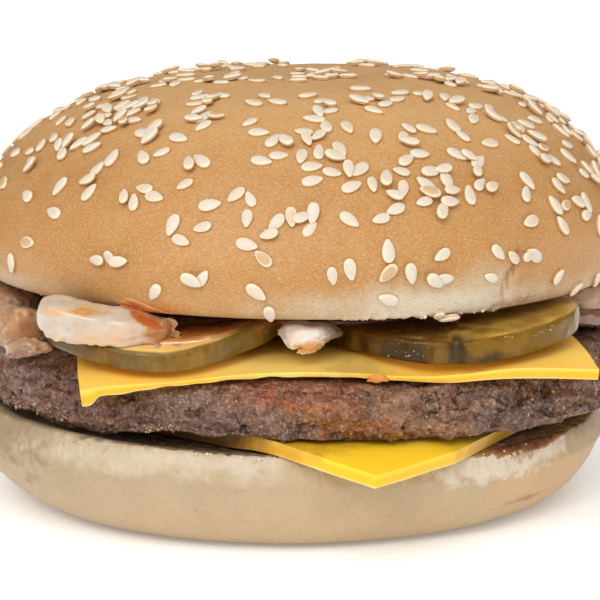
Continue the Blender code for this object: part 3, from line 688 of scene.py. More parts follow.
def pattyMaterial():
    material, tree, shader, coords = startMaterial(
        "grilledPatty", (1.0, 0.4, 0.25), Coat_Roughness=0.14, Subsurface_Weight=0.05,
        Subsurface_Scale=0.001, Specular_IOR_Level=0.25)
    relief = nodeOf(tree, "ShaderNodeAttribute", attribute_name="relief").outputs["Fac"]
    broad = noiseOf(tree, coords, 60.0, 3.0, 0.55, shift=(0.3, 0.1, 0.2))
    clumps = noiseOf(tree, coords, 300.0, 4.0, 0.62, warp=0.6)
    flecks = noiseOf(tree, coords, 900.0, 3.0, 0.65, shift=(0.2, 0.5, 0.1))
    fine = noiseOf(tree, coords, 1900.0, 3.0, 0.7)
    pebbles = cellsOf(tree, coords, 1700.0, feature="SMOOTH_F1")
    colour = tint(tree, spread(tree, clumps, 0.40, 0.60), (0.078, 0.034, 0.022), (0.250, 0.127, 0.076))
    colour = tint(tree, spread(tree, broad, 0.40, 0.62, 0.0, 0.6), colour, (0.19, 0.088, 0.044))
    colour = stained(tree, coords, colour, [
        ((-36, -36, 23.5), (11, 12, 6.0), 0.6, 0.5, 200.0, 0.5, (0.215, 0.105, 0.080)),
        ((-24, -44, 21.5), (7, 8, 3.0), 0.6, 0.7, 260.0, 0.2, (0.070, 0.036, 0.028)),
        ((-10, -49, 23.5), (7, 8, 1.8), 0.6, 0.9, 260.0, 0.25, (0.27, 0.16, 0.10)),
        ((-14, -48, 19.5), (9, 8, 2.0), 0.6, 0.9, 260.0, 0.40, (0.13, 0.060, 0.042)),
        ((-9, -49.5, 21.5), (9, 6, 5), 0.6, 0.6, 200.0, 0.55, (0.13, 0.066, 0.047)),
        ((3.5, -51, 24.2), (7.5, 6, 2.4), 0.6, 0.9, 330.0, 0.65, (0.27, 0.070, 0.027)),
        ((-2.5, -51, 25.0), (2.6, 5, 1.4), 0.6, 0.9, 330.0, 0.65, (0.36, 0.075, 0.022)),
        ((4.5, -51, 22.7), (5.5, 5, 0.6), 0.6, 0.7, 330.0, 0.7, (0.46, 0.13, 0.024)),
        ((14, -50, 19.6), (9, 7, 2.2), 0.6, 0.8, 250.0, 0.85, (0.275, 0.086, 0.010)),
        ((23, -47, 21.5), (9, 8, 3.4), 0.6, 0.6, 250.0, 0.6, (0.30, 0.160, 0.098)),
        ((27, -45, 16.8), (9, 8, 1.2), 0.6, 0.6, 300.0, 0.7, (0.30, 0.105, 0.028)),
        ((36, -40, 20.0), (6, 8, 3.4), 0.6, 0.8, 260.0, 0.6, (0.070, 0.038, 0.030)),
        ((45, -29, 20.0), (6, 8, 5.0), 0.6, 0.6, 260.0, 0.80, (0.165, 0.052, 0.016)),
        ((-40, 30, 21.0), (14, 12, 3.5), 0.6, 0.7, 200.0, 0.5, (0.26, 0.09, 0.03)),
        ((20, 47, 20.0), (16, 12, 3.0), 0.6, 0.7, 200.0, 0.5, (0.27, 0.12, 0.04)),
    ])
    colour = tint(tree, spread(tree, flecks, 0.52, 0.66, 0.0, 0.45), colour, (0.36, 0.225, 0.150))
    colour = tint(tree, spread(tree, flecks, 0.45, 0.33, 0.0, 0.6), colour, (0.062, 0.026, 0.017))
    # light specks in the fine noise are painted glints
    colour = tint(tree, spread(tree, fine, 0.54, 0.70, 0.0, 0.6), colour, (0.54, 0.38, 0.26))
    colour = tint(tree, spread(tree, fine, 0.46, 0.32, 0.0, 0.6), colour, (0.050, 0.022, 0.014))
    # painted shade in the crevices and painted light on the raised grains
    colour = tint(tree, spread(tree, relief, -0.28, -0.85, 0.0, 0.9), colour, (0.026, 0.011, 0.007))
    colour = tint(tree, spread(tree, relief, 0.15, 0.75, 0.0, 0.35), colour, (0.36, 0.23, 0.155))
    # painted shade, darker along the lower edge where the patty meets the cheese
    base = spread(tree, levelOf(tree, coords), 18.2 * mm, 16.6 * mm, 0.0, 0.55)
    colour = tint(tree, base, colour, (0.045, 0.020, 0.012))
    tree.links.new(colour, shader.inputs["Base Color"])
    tree.links.new(spread(tree, clumps, 0.3, 0.7, 0.34, 0.60), shader.inputs["Roughness"])
    tree.links.new(spread(tree, broad, 0.40, 0.60, 0.15, 0.65), shader.inputs["Coat Weight"])
    rough = bumpOf(tree, flecks, 0.6, 0.5)
    rough = bumpOf(tree, pebbles, 0.6, 0.35, rough)
    rough = bumpOf(tree, fine, 0.55, 0.22, rough)
    tree.links.new(rough, shader.inputs["Normal"])
    return material


meat = pattyMaterial()
pattyMesh = turnedMesh("grilledPatty", pattyProfile(), pattyLook["steps"], pattyPlace)
patty = addPiece("grilledPatty", pattyMesh, meat)
useTree(patty, cragTree(), {**pattyLook, "Meat": meat})
finishPiece(settle(patty), "patty", "patty")
print("patty done")


# Pickles: centre x, y, radius, thickness, lift at left and right, droop in front, all in mm

pickleSizes = {
    "pickle_left": (-17.4, -32.5, 17.4, 3.2, 0.4, 1.6, 1.7),
    "pickle_right": (24.6, -26.0, 20.0, 3.6, 0.1, 0.9, 1.2),
    "pickle_back": (-7.0, 29.5, 18.2, 3.8, 0.6, 0.8, 0.0),
}
pickleLook = {
    "steps": 260, "row": 0.4 * mm, "taper": 0.1, "notchAngle": math.radians(-89), "notchWidth": math.radians(2.6),
    "notchDepth": 0.75 * mm, "bumps": 0.2 * mm, "rim": 0.42 * mm,
}


def pickleBase(sizes, u, v):
    liftLeft, liftRight, droop = (size * mm for size in sizes[4:])
    rest = pattyTop(0.0, 0.0) + sliceForm["thickness"] + 2.6 * gap
    lift = (liftRight if u > 0.0 else liftLeft) * u * u
    return rest + lift - droop * (1.0 - u * u) * max(-v, 0.0) ** 3


def pickleTop(sizes, x, y):
    centreX, centreY, radius, thickness = (size * mm for size in sizes[:4])
    u, v = (x - centreX) / radius, (y - centreY) / radius
    if math.hypot(u, v) > 1.08:
        return 0.0
    return pickleBase(sizes, u, v) + thickness * (1.0 + pickleLook["taper"] * u)


def makePickle(node, name, material):
    sizes, look = pickleSizes[node], pickleLook
    centreX, centreY, radius, thickness = (size * mm for size in sizes[:4])
    rim = look["rim"]
    profile = [(0.0, thickness), (0.82 * radius, thickness), (radius - rim, thickness), (radius, thickness - rim),
               (radius, rim), (radius - rim, 0.0), (0.82 * radius, 0.0), (0.0, 0.0)]
    profile = evenLine(profile[:1] + softLine(profile[1:-1], 3) + profile[-1:],
                       lambda point: look["row"] if point[0] > 0.86 * radius else 0.9 * mm)

    def place(x, y, z):
        angle, share = math.atan2(y, x), math.hypot(x, y) / radius
        notch = math.exp(-((angleBetween(angle, look["notchAngle"]) / look["notchWidth"]) ** 2))
        if node != "pickle_right":
            notch = 0.0
        skin = smoothStep(share, 0.85, 0.15)
        bumps = wave(x, y, z, 2.8 * mm, 3.0) + 0.5 * wave(x, y, 2.0 * z, 1.0 * mm, 9.0)
        oval = 0.012 * math.sin(2.0 * angle + centreX / mm)
        scale = 1.0 + share * (oval - notch * look["notchDepth"] / radius) + skin * look["bumps"] * bumps / radius
        face = 0.14 * mm * wave(x, y, 0.0, 4.0 * mm, 5.0) * (z / thickness)
        height = pickleBase(sizes, x / radius, y / radius) + z * (1.0 + look["taper"] * x / radius) + face
        return Vector((centreX + x * scale, centreY + y * scale, height))

    piece = addPiece(name, turnedMesh(name, profile, look["steps"], place), material)
    return finishPiece(piece, "pickle", node)


def pickleMaterial(name, node, skinDark, skinLight, skinGrey, flesh, fleshDark, stains):
    centreX, centreY, radius = pickleSizes[node][:3]
    material, tree, shader, coords = startMaterial(
        name, (1.0, 0.8, 0.25), Subsurface_Weight=0.15, Subsurface_Scale=0.0015, Specular_IOR_Level=0.12,
        Coat_Weight=0.22, Coat_Roughness=0.05)
    centred = vectorOf(tree, "SUBTRACT", coords, (centreX * mm, centreY * mm, 0.0))
    level = vectorOf(tree, "MULTIPLY", centred, (1.0, 1.0, 0.0))
    reach = nodeOf(tree, "ShaderNodeVectorMath", {0: level}, operation="LENGTH").outputs["Value"]
    skin = spread(tree, reach, (radius - 0.9) * mm, (radius - 0.35) * mm)
    mottle = noiseOf(tree, coords, 260.0, 4.0, 0.66, stretch=(1, 1, 0.35))
    broad = noiseOf(tree, coords, 120.0, 3.0, 0.60, stretch=(1, 1, 0.3), shift=(0.5, 0.2, 0.0))
    fine = noiseOf(tree, coords, 1400.0, 3.0, 0.6)
    cells = cellsOf(tree, coords, 480.0)
    rind = tint(tree, spread(tree, mottle, 0.38, 0.62), skinDark, skinLight)
    rind = tint(tree, spread(tree, broad, 0.52, 0.60, 0.0, 0.6), rind, skinGrey)
    rind = tint(tree, spread(tree, broad, 0.44, 0.34, 0.0, 0.5), rind, (0.24, 0.14, 0.014))
    inside = tint(tree, spread(tree, broad, 0.35, 0.65), fleshDark, flesh)
    inside = tint(tree, spread(tree, cells, 0.30, 0.65, 0.0, 0.25), inside, (0.52, 0.36, 0.12))
    colour = stained(tree, coords, tint(tree, skin, inside, rind), stains)
    colour = tint(tree, spread(tree, fine, 0.35, 0.7, 0.0, 0.3), colour, (0.78, 0.72, 0.5), "MULTIPLY")
    tree.links.new(colour, shader.inputs["Base Color"])
    tree.links.new(spread(tree, mottle, 0.3, 0.7, 0.22, 0.4), shader.inputs["Roughness"])
    relief = bumpOf(tree, mottle, 0.35, 0.35, bumpOf(tree, fine, 0.3, 0.10))
    tree.links.new(relief, shader.inputs["Normal"])
    return material


leftPickle = pickleMaterial("picklePale", "pickle_left", (0.160, 0.080, 0.007), (0.265, 0.142, 0.020),
                            (0.135, 0.095, 0.034), (0.88, 0.56, 0.18), (0.72, 0.43, 0.10), [
    ((-14, -35, 33.5), (17, 8.5, 3), 0.35, 0.3, 260.0, 0.85, (0.78, 0.25, 0.03)),
    ((-31, -43, 30.5), (4.5, 6, 4), 0.5, 0.5, 300.0, 0.55, (0.10, 0.08, 0.045)),
    ((-3, -44, 31.5), (5, 9, 4), 0.5, 0.4, 250.0, 0.5, (0.12, 0.08, 0.016)),
])
rightPickle = pickleMaterial("pickleDark", "pickle_right", (0.040, 0.019, 0.001), (0.112, 0.053, 0.003),
                             (0.054, 0.031, 0.006), (0.95, 0.60, 0.16), (0.80, 0.47, 0.09), [
    ((16, -41, 33.2), (14, 13, 2.7), 0.45, 0.3, 260.0, 0.95, (0.115, 0.040, 0.004)),
    ((38, -38, 31), (9, 9, 4), 0.5, 0.4, 200.0, 0.75, (0.235, 0.125, 0.009)),
    # painted shade in the notch
    ((25.0, -46, 30), (1.2, 3, 4), 0.4, 0.2, 300.0, 0.95, (0.05, 0.029, 0.006)),
    ((31, -44.5, 30.6), (3.4, 5, 1.6), 0.5, 0.5, 300.0, 0.55, (0.30, 0.15, 0.006)),
    ((44.2, -26, 33.0), (2.2, 7, 3), 0.5, 0.3, 300.0, 0.6, (0.50, 0.38, 0.17)),
])
backPickle = pickleMaterial("pickleBack", "pickle_back", (0.11, 0.06, 0.006), (0.24, 0.14, 0.018),
                            (0.12, 0.09, 0.03), (0.55, 0.34, 0.08), (0.38, 0.21, 0.035), [
    ((-7, 24, 33.6), (15, 12, 3), 0.4, 0.3, 260.0, 0.8, (0.22, 0.06, 0.010)),
])
makePickle("pickle_left", "pickleLeft", leftPickle)
makePickle("pickle_right", "pickleRight", rightPickle)
makePickle("pickle_back", "pickleBack", backPickle)
print("pickles done")


# Onion pieces: centre x, y, z, length, depth, height in mm; turn, tilt, roll in degrees; bend; crumple

onionSizes = {
    "onion_white": (-25.6, -45.2, 33.75, 19.5, 6.2, 4.5, -4, 8, 12, 0.10, 0.35),
    "onion_lump": (-38.9, -28.5, 30.1, 8.0, 6.6, 6.6, 35, 8, 0, 0.05, 1.3),
    "onion_rag": (-37.3, -36.9, 28.1, 7.0, 4.4, 3.4, -42, -10, 0, 0.15, 1.6),
    "onion_far": (-43.4, -14.5, 32.6, 12.5, 6.2, 4.2, -68, 4, 0, 0.20, 1.3),
    "onion_under": (-43.0, -12.5, 28.3, 13.5, 6.6, 4.2, -84, 0, 0, 0.12, 1.3),
    "onion_curl": (4.0, -42.9, 31.5, 9.6, 5.4, 3.6, -2, 3, 0, 0.30, 0.8),
    "onion_strip": (46.0, -7.6, 31.2, 15.0, 5.6, 4.2, 8, -6, 0, 0.25, 0.8),
    "onion_side": (-42.0, 8.5, 29.2, 14.5, 6.4, 5.6, 88, -3, 0, 0.18, 1.0),
    "onion_rear": (-29.3, 37.9, 29.0, 12.0, 6.5, 5.6, 128, 3, 0, 0.22, 0.9),
    "onion_back": (16.5, 43.0, 29.1, 17.0, 6.0, 5.4, 170, -2, 0, 0.16, 1.0),
    "onion_end": (37.6, 26.6, 31.5, 15.5, 6.6, 4.8, 130, 3, 0, 0.20, 0.9),
}
onionLook = {
    "cuts": 36, "roughness": 0.55 * mm, "folds": 0.34 * mm, "ribs": 0.04 * mm, "ribWidth": 1.9 * mm,
    "ragged": 0.30 * mm, "bulge": 0.42 * mm,
}


def makeOnion(node, name, material):
    sizes, look = onionSizes[node], onionLook
    x, y, z, length, depth, height = (size * mm for size in sizes[:6])
    turn, tilt, roll = (math.radians(size) for size in sizes[6:9])
    bend, crumple = sizes[9:]
    form = bmesh.new()
    bmesh.ops.create_cube(form, size=2.0)
    bmesh.ops.subdivide_edges(form, edges=form.edges, cuts=look["cuts"], use_grid_fill=True)
    place = Matrix.Translation((x, y, z)) @ Matrix.Rotation(turn, 4, "Z")
    place = place @ Matrix.Rotation(tilt, 4, "Y") @ Matrix.Rotation(roll, 4, "X")
    for vertex in form.verts:
        u, v, w = vertex.co
        around = (abs(u) ** 6 + abs(v) ** 4 + abs(w) ** 4) ** (1.0 / 4.5)
        if crumple > 1.0:
            around = (abs(u) ** 3 + abs(v) ** 3 + abs(w) ** 3) ** (1.0 / 3.0)
        u, v, w = u / around, v / around, w / around
        taper = 1.0 - 0.16 * u
        point = Vector((0.5 * length * u, 0.5 * depth * v * taper, 0.5 * height * w * taper))
        point.y += bend * length * (u * u - 0.35)
        px, py, pz = point.x + x, point.y + y, point.z + z
        rough = look["roughness"] * wave(px, py, pz, 3.5 * mm, 5.0)
        fold = wave(px, py, pz, 2.4 * mm, 11.0)
        folds = look["folds"] * crumple * (0.55 - 1.6 * math.sqrt(fold * fold + 0.05))
        layers = 2.0 * math.pi * (point.z / look["ribWidth"] + 0.5 * wave(px, py, pz, 4.0 * mm, 2.0))
        end = smoothStep(abs(u), 0.7, 0.3)
        ribs = look["ribs"] * math.sin(layers) * (1.0 - 0.6 * end)
        ragged = look["ragged"] * crumple * wave(px, py, pz, 0.9 * mm, 7.0) * (0.35 + 0.65 * end)
        if node == "onion_rag":
            point.z *= 0.65 if point.z < 0.0 else 1.0
            point.z += 0.4 * mm
            ragged += 0.45 * mm * wave(px, py, pz, 1.3 * mm, 4.0)
        if node in ("onion_white", "onion_curl"):
            # two soft bulges, and a torn lower edge
            rough += look["bulge"] * (bell(u, -0.42, 0.34) + bell(u, 0.34, 0.26) - 0.5)
            lowEdge = smoothStep(-w, 0.45, 0.4)
            ragged += 0.5 * mm * lowEdge * wave(px, py, 0.0, 1.0 * mm, 3.0)
            if node == "onion_curl":
                # a thin leaf with a pointed end at the left, lowest in the middle
                point.z *= 1.0 - 0.45 * u * u
                if w < 0.0:
                    point.z *= 0.85 - 0.50 * smoothStep(u, 0.2, 0.4) - 0.50 * smoothStep(-u, 0.45, 0.5)
                point.z += 0.3 * mm - 0.6 * mm * lowEdge * bell(u, 0.12, 0.14)
        spot = place @ (point + Vector((u, v, w)).normalized() * (rough + folds + ribs + ragged))
        if node == "onion_white":
            spot.z = max(spot.z, pickleTop(pickleSizes["pickle_left"], spot.x, spot.y) + 0.2 * gap)
        vertex.co = spot
    return finishPiece(addPiece(name, meshFrom(name, form), material), "onion", node)


def onionMaterial(name, flesh, deep, vein, clear, stains):
    material, tree, shader, coords = startMaterial(
        name, (1.0, 0.75, 0.5), Subsurface_Weight=clear, Subsurface_Scale=0.002, Specular_IOR_Level=0.35,
        Coat_Weight=0.5, Coat_Roughness=0.1)
    broad = noiseOf(tree, coords, 190.0, 3.0, 0.55)
    veins = noiseOf(tree, coords, 420.0, 3.0, 0.6, stretch=(0.6, 1.0, 1.7))
    fine = noiseOf(tree, coords, 1300.0, 3.0, 0.6)
    colour = tint(tree, spread(tree, broad, 0.36, 0.66), flesh, deep)
    colour = tint(tree, spread(tree, veins, 0.50, 0.68, 0.0, 0.6), colour, vein)
    colour = stained(tree, coords, colour, stains)
    colour = tint(tree, spread(tree, fine, 0.45, 0.75, 0.0, 0.25), colour, (0.86, 0.76, 0.66), "MULTIPLY")
    tree.links.new(colour, shader.inputs["Base Color"])
    tree.links.new(spread(tree, broad, 0.3, 0.7, 0.24, 0.42), shader.inputs["Roughness"])
    tree.links.new(bumpOf(tree, veins, 0.45, 0.3, bumpOf(tree, fine, 0.35, 0.10)), shader.inputs["Normal"])
    return material


whiteOnion = onionMaterial("onionWhite", (0.60, 0.53, 0.44), (0.54, 0.44, 0.34), (0.53, 0.40, 0.29), 0.35, [
    ((-29.5, -47.5, 36.0), (5.5, 3, 0.6), 0.6, 0.6, 500.0, 0.75, (0.70, 0.38, 0.12)),
    ((-24, -48, 32.0), (9, 4, 1.0), 0.7, 0.7, 420.0, 0.8, (0.66, 0.42, 0.23)),
    ((-22, -48, 33.2), (4, 4, 1.2), 0.8, 0.8, 420.0, 0.55, (0.64, 0.42, 0.26)),
    ((-16.6, -44, 33.0), (3.4, 8, 4), 0.6, 0.5, 420.0, 0.9, (0.50, 0.24, 0.11)),
])
pinkOnion = onionMaterial("onionPink", (0.46, 0.29, 0.165), (0.29, 0.155, 0.088), (0.60, 0.44, 0.29), 0.35, [
    ((-38, -31, 31.5), (4.5, 6, 2.0), 0.5, 0.8, 350.0, 0.6, (0.56, 0.27, 0.10)),
    ((-43, -20, 33), (6, 8, 2.5), 0.5, 0.6, 350.0, 0.6, (0.36, 0.18, 0.11)),
    ((-37.3, -37, 26.4), (6, 6, 1.6), 0.3, 0.6, 420.0, 0.95, (0.15, 0.070, 0.045)),
    ((-45, -18, 27.0), (8, 14, 2.2), 0.35, 0.5, 420.0, 0.9, (0.11, 0.06, 0.045)),
])
curlOnion = onionMaterial("onionCurl", (0.88, 0.80, 0.72), (0.74, 0.62, 0.51), (0.78, 0.62, 0.48), 0.35, [
    ((4.6, -46.0, 30.0), (4.0, 4.0, 1.3), 0.5, 0.5, 420.0, 0.8, (0.76, 0.46, 0.21)),
    ((4.6, -46.0, 29.0), (1.4, 4.0, 0.8), 0.5, 0.5, 420.0, 0.9, (0.70, 0.28, 0.05)),
    # painted shadow on the right part, under the crown
    ((9.0, -44.0, 31.5), (3.2, 5.0, 3.0), 0.5, 0.4, 420.0, 0.9, (0.17, 0.105, 0.060)),
])
onionNames = {
    "onion_white": ("onionWhite", whiteOnion), "onion_curl": ("onionCurl", curlOnion),
    "onion_lump": ("onionLump", pinkOnion), "onion_rag": ("onionRag", pinkOnion),
    "onion_far": ("onionFar", pinkOnion), "onion_under": ("onionUnder", pinkOnion),
    "onion_strip": ("onionStrip", pinkOnion), "onion_side": ("onionSide", pinkOnion),
    "onion_rear": ("onionRear", curlOnion), "onion_back": ("onionBack", pinkOnion),
    "onion_end": ("onionEnd", curlOnion),
}
for node, (name, material) in onionNames.items():
    makeOnion(node, name, material)
print("onion done")


# Crown: the baked upper half of the bun

crownForm = {
    "centreX": 1.6 * mm, "radius": 51.8 * mm, "lipRadius": 48.8 * mm, "lipHeight": 35.2 * mm,
    "faceHeight": 34.1 * mm, "beltHeight": 43.0 * mm, "dome": 23.2 * mm, "planPower": 3.4, "risePower": 1.42,
    "lean": 0.022,
}
crownLook = {
    "steps": 640, "undulation": 0.30 * mm, "undulationSize": 17.0 * mm, "dimple": 0.05 * mm, "dimpleSize": 2.6 * mm,
    "creaseAngle": math.radians(-53.6), "creaseWidth": math.radians(0.6), "creaseDepth": 0.6 * mm,
    "golden": (0.512, 0.259, 0.084), "deep": (0.460, 0.220, 0.063), "pale": (0.530, 0.320, 0.132),
    # top is a lighter colour for the top of the dome, painted light
    "cream": (0.56, 0.435, 0.285), "crumb": (0.64, 0.51, 0.335), "top": (0.66, 0.39, 0.155),
}


def crownPoint(share):
    form = crownForm
    if share <= 1.0:
        swing = 0.5 * math.pi * share
        radius = form["radius"] * math.sin(swing) ** (2.0 / form["planPower"])
        return radius, form["beltHeight"] + form["dome"] * max(math.cos(swing), 0.0) ** (2.0 / form["risePower"])
    swing = 0.5 * math.pi * (share - 1.0)
    radius = form["lipRadius"] + (form["radius"] - form["lipRadius"]) * math.cos(swing)
    return radius, form["beltHeight"] - (form["beltHeight"] - form["lipHeight"]) * math.sin(swing)


def crownPlace(x, y, z):
    form = crownForm
    angle = math.atan2(y, x)
    height = smoothStep(z, form["lipHeight"], form["beltHeight"] - form["lipHeight"])
    scale = 1.0 + 0.006 * math.sin(2.0 * angle + 2.4) + 0.004 * math.sin(3.0 * angle + 0.5)
    edge = smoothStep(math.hypot(x, y), 0.8 * form["lipRadius"], 0.2 * form["lipRadius"])
    lip = (1.0 - height) * edge * (0.35 * mm - 0.65 * mm * math.cos(angle + 0.75))
    return Vector((x * scale + form["centreX"], y * scale, z + form["lean"] * x * height + lip))


def crownSkin(x, y, z):
    # the place on the even bun, then the skin's own unevenness
    form, look = crownForm, crownLook
    point = crownPlace(x, y, z)
    angle, radius = math.atan2(y, x), math.hypot(x, y)
    out = Vector((x, y, (z - 40.0 * mm) * 1.4)).normalized()
    skin = smoothStep(z, form["lipHeight"] - 0.2 * mm, 1.2 * mm) * smoothStep(radius, 2.0 * mm, 6.0 * mm)
    uneven = look["undulation"] * wave(x, y, z, look["undulationSize"], 2.2)
    uneven += look["dimple"] * wave(x, y, z, look["dimpleSize"], 6.4)
    # a crease runs down the belly at the right, with short wrinkles round its foot
    bent = look["creaseAngle"] + 0.05 * smoothStep(z, 38.5 * mm, 4.0 * mm)
    crease = bell(angle, bent, look["creaseWidth"])
    crease *= smoothStep(z, 36.0 * mm, 2.0 * mm) * (1.0 - smoothStep(z, 42.0 * mm, 2.5 * mm))
    near = bell(angle, math.radians(-50), math.radians(15)) * (1.0 - smoothStep(z, 36.8 * mm, 3.0 * mm))
    wrinkle = noise.noise(Vector((angle * 51.0 / 1.2, z / (3.5 * mm), 5.0)))
    uneven += 0.22 * mm * wrinkle * near - look["creaseDepth"] * crease
    point += out * uneven * skin
    # the lower edge is torn and ragged in front
    torn = smoothStep(angle, math.radians(-86), math.radians(8))
    torn *= 1.0 - smoothStep(angle, math.radians(-56), math.radians(8))
    low = 1.0 - smoothStep(z, form["lipHeight"] - 0.3 * mm, 1.6 * mm)
    ring = smoothStep(radius, 0.95 * form["lipRadius"], 0.03 * form["lipRadius"])
    around = angle * 51.0
    jag = noise.noise(Vector((around / 1.3, 2.0, 7.0))) + 0.7 * noise.noise(Vector((around / 0.55, 9.0, 3.0)))
    point.z -= (0.15 + 0.42 * jag) * mm * torn * low * ring
    return point


def crownProfile():
    form = crownForm
    lip = form["lipRadius"]
    dome = [crownPoint(row / 60) for row in range(61)]
    belly = [crownPoint(1.0 + row / 24) for row in range(1, 25)]
    face = [(lip - 0.8 * mm, form["lipHeight"] - 0.3 * mm), (0.9 * lip, form["lipHeight"] - 0.6 * mm),
            (0.8 * lip, form["faceHeight"])]
    low = softLine(belly[-8:] + face, 2)

    def spacing(point):
        if point[1] < 36.5 * mm:
            return 0.34 * mm if point[0] > 0.9 * lip else 3.0 * mm
        return 1.6 * mm if point[0] < 0.5 * form["radius"] else 0.6 * mm

    return evenLine(dome + belly[:-8] + low + [(0.0, form["faceHeight"])], spacing)


def crownMaterial():
    look = crownLook
    material, tree, shader, coords = startMaterial(
        "bakedCrown", (1.0, 0.55, 0.25), Subsurface_Weight=0.08, Subsurface_Scale=0.0015, Specular_IOR_Level=0.35)
    level = levelOf(tree, coords)
    broad = noiseOf(tree, coords, 38.0, 2.0, 0.5, shift=(0.1, 0.3, 0.0))
    mottle = noiseOf(tree, coords, 260.0, 3.0, 0.6)
    speckle = noiseOf(tree, coords, 3300.0, 2.0, 0.65, stretch=(0.8, 0.8, 1.2))
    pores = cellsOf(tree, coords, 1000.0)
    colour = tint(tree, spread(tree, broad, 0.35, 0.68), look["golden"], look["deep"])
    colour = tint(tree, spread(tree, mottle, 0.42, 0.72, 0.0, 0.30), colour, look["pale"])
    colour = tint(tree, spread(tree, level, 41.0 * mm, 35.5 * mm, 0.0, 0.5), colour, look["pale"])
    # painted light: the top of the dome is lighter
    colour = tint(tree, spread(tree, level, 52.0 * mm, 65.0 * mm, 0.0, 0.7), colour, look["top"])
    colour = stained(tree, coords, colour, [
        ((20, -43, 35.0), (23, 15, 5.0), 0.40, 0.25, 140.0, 0.9, look["cream"]),
        ((29, -43, 38.5), (5, 6, 4.0), 0.60, 0.30, 160.0, 0.6, look["cream"]),
        ((23, -46, 35.6), (15, 12, 2.6), 0.50, 0.35, 160.0, 0.7, (0.66, 0.585, 0.465)),
        ((43, -28, 36.0), (9, 12, 2.0), 0.50, 0.35, 160.0, 0.3, look["cream"]),
        # painted shade along the crease, in the next three patches
        ((33.3, -40.2, 41.6), (0.32, 2.4, 1.6), 0.6, 0.3, 600.0, 0.7, (0.34, 0.16, 0.05)),
        ((32.5, -41.2, 39.4), (0.32, 2.4, 1.6), 0.6, 0.3, 600.0, 0.75, (0.36, 0.18, 0.07)),
        ((31.9, -41.2, 37.4), (0.32, 2.4, 1.4), 0.6, 0.3, 600.0, 0.7, (0.42, 0.24, 0.12)),
        ((35, -38.6, 35.9), (5.0, 3.6, 0.5), 0.6, 0.8, 900.0, 0.6, (0.36, 0.17, 0.06)),
        ((-42, -30, 36.5), (11, 12, 2.5), 0.5, 0.25, 200.0, 0.5, look["cream"]),
        ((17, -47, 34.7), (9, 6, 1.0), 0.4, 0.5, 600.0, 0.85, (0.76, 0.67, 0.53)),
        ((-34, -37, 36.2), (4.5, 5, 0.8), 0.5, 0.5, 400.0, 0.6, (0.60, 0.22, 0.05)),
        ((-18, -47, 36.4), (5, 5, 0.9), 0.5, 0.5, 400.0, 0.7, (0.58, 0.20, 0.04)),
        ((20, 44, 35.5), (30, 16, 4.5), 0.45, 0.3, 140.0, 0.7, look["cream"]),
    ])
    colour = tint(tree, spread(tree, speckle, 0.44, 0.68, 0.0, 0.50), colour, (0.74, 0.62, 0.48), "MULTIPLY")
    colour = tint(tree, spread(tree, speckle, 0.47, 0.30, 0.0, 0.42), colour, look["cream"])
    colour = tint(tree, spread(tree, pores, 0.15, 0.04, 0.0, 0.25), colour, (0.42, 0.20, 0.07))
    face = spread(tree, level, 34.9 * mm, 34.4 * mm)
    crumb = tint(tree, spread(tree, mottle, 0.42, 0.62), look["crumb"], (0.34, 0.10, 0.03))
    tree.links.new(tint(tree, face, colour, crumb), shader.inputs["Base Color"])
    tree.links.new(spread(tree, mottle, 0.3, 0.7, 0.42, 0.56), shader.inputs["Roughness"])
    skin = bumpOf(tree, speckle, 0.38, 0.10)
    skin = bumpOf(tree, pores, 0.15, 0.12, skin)
    skin = bumpOf(tree, mottle, 0.30, 0.4, skin)
    tree.links.new(skin, shader.inputs["Normal"])
    return material


crownMesh = turnedMesh("bunCrown", crownProfile(), crownLook["steps"], crownSkin)
crown = finishPiece(addPiece("bunCrown", crownMesh, crownMaterial()), "bun_crown", "crown")
print("crown done")


# Sesame seeds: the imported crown's own first, then the clusters that show between them

seedRule = {
    "length": 3.5 * mm, "hull": 3.25 * mm, "width": 1.82 * mm, "thickness": 1.12 * mm, "rise": 0.18 * mm, "count": 360,
    "spacing": 2.7 * mm, "kept": 135, "keptSpacing": 4.3 * mm, "reach": 7.0 * mm, "closest": 1.5 * mm, "seed": 27,
}
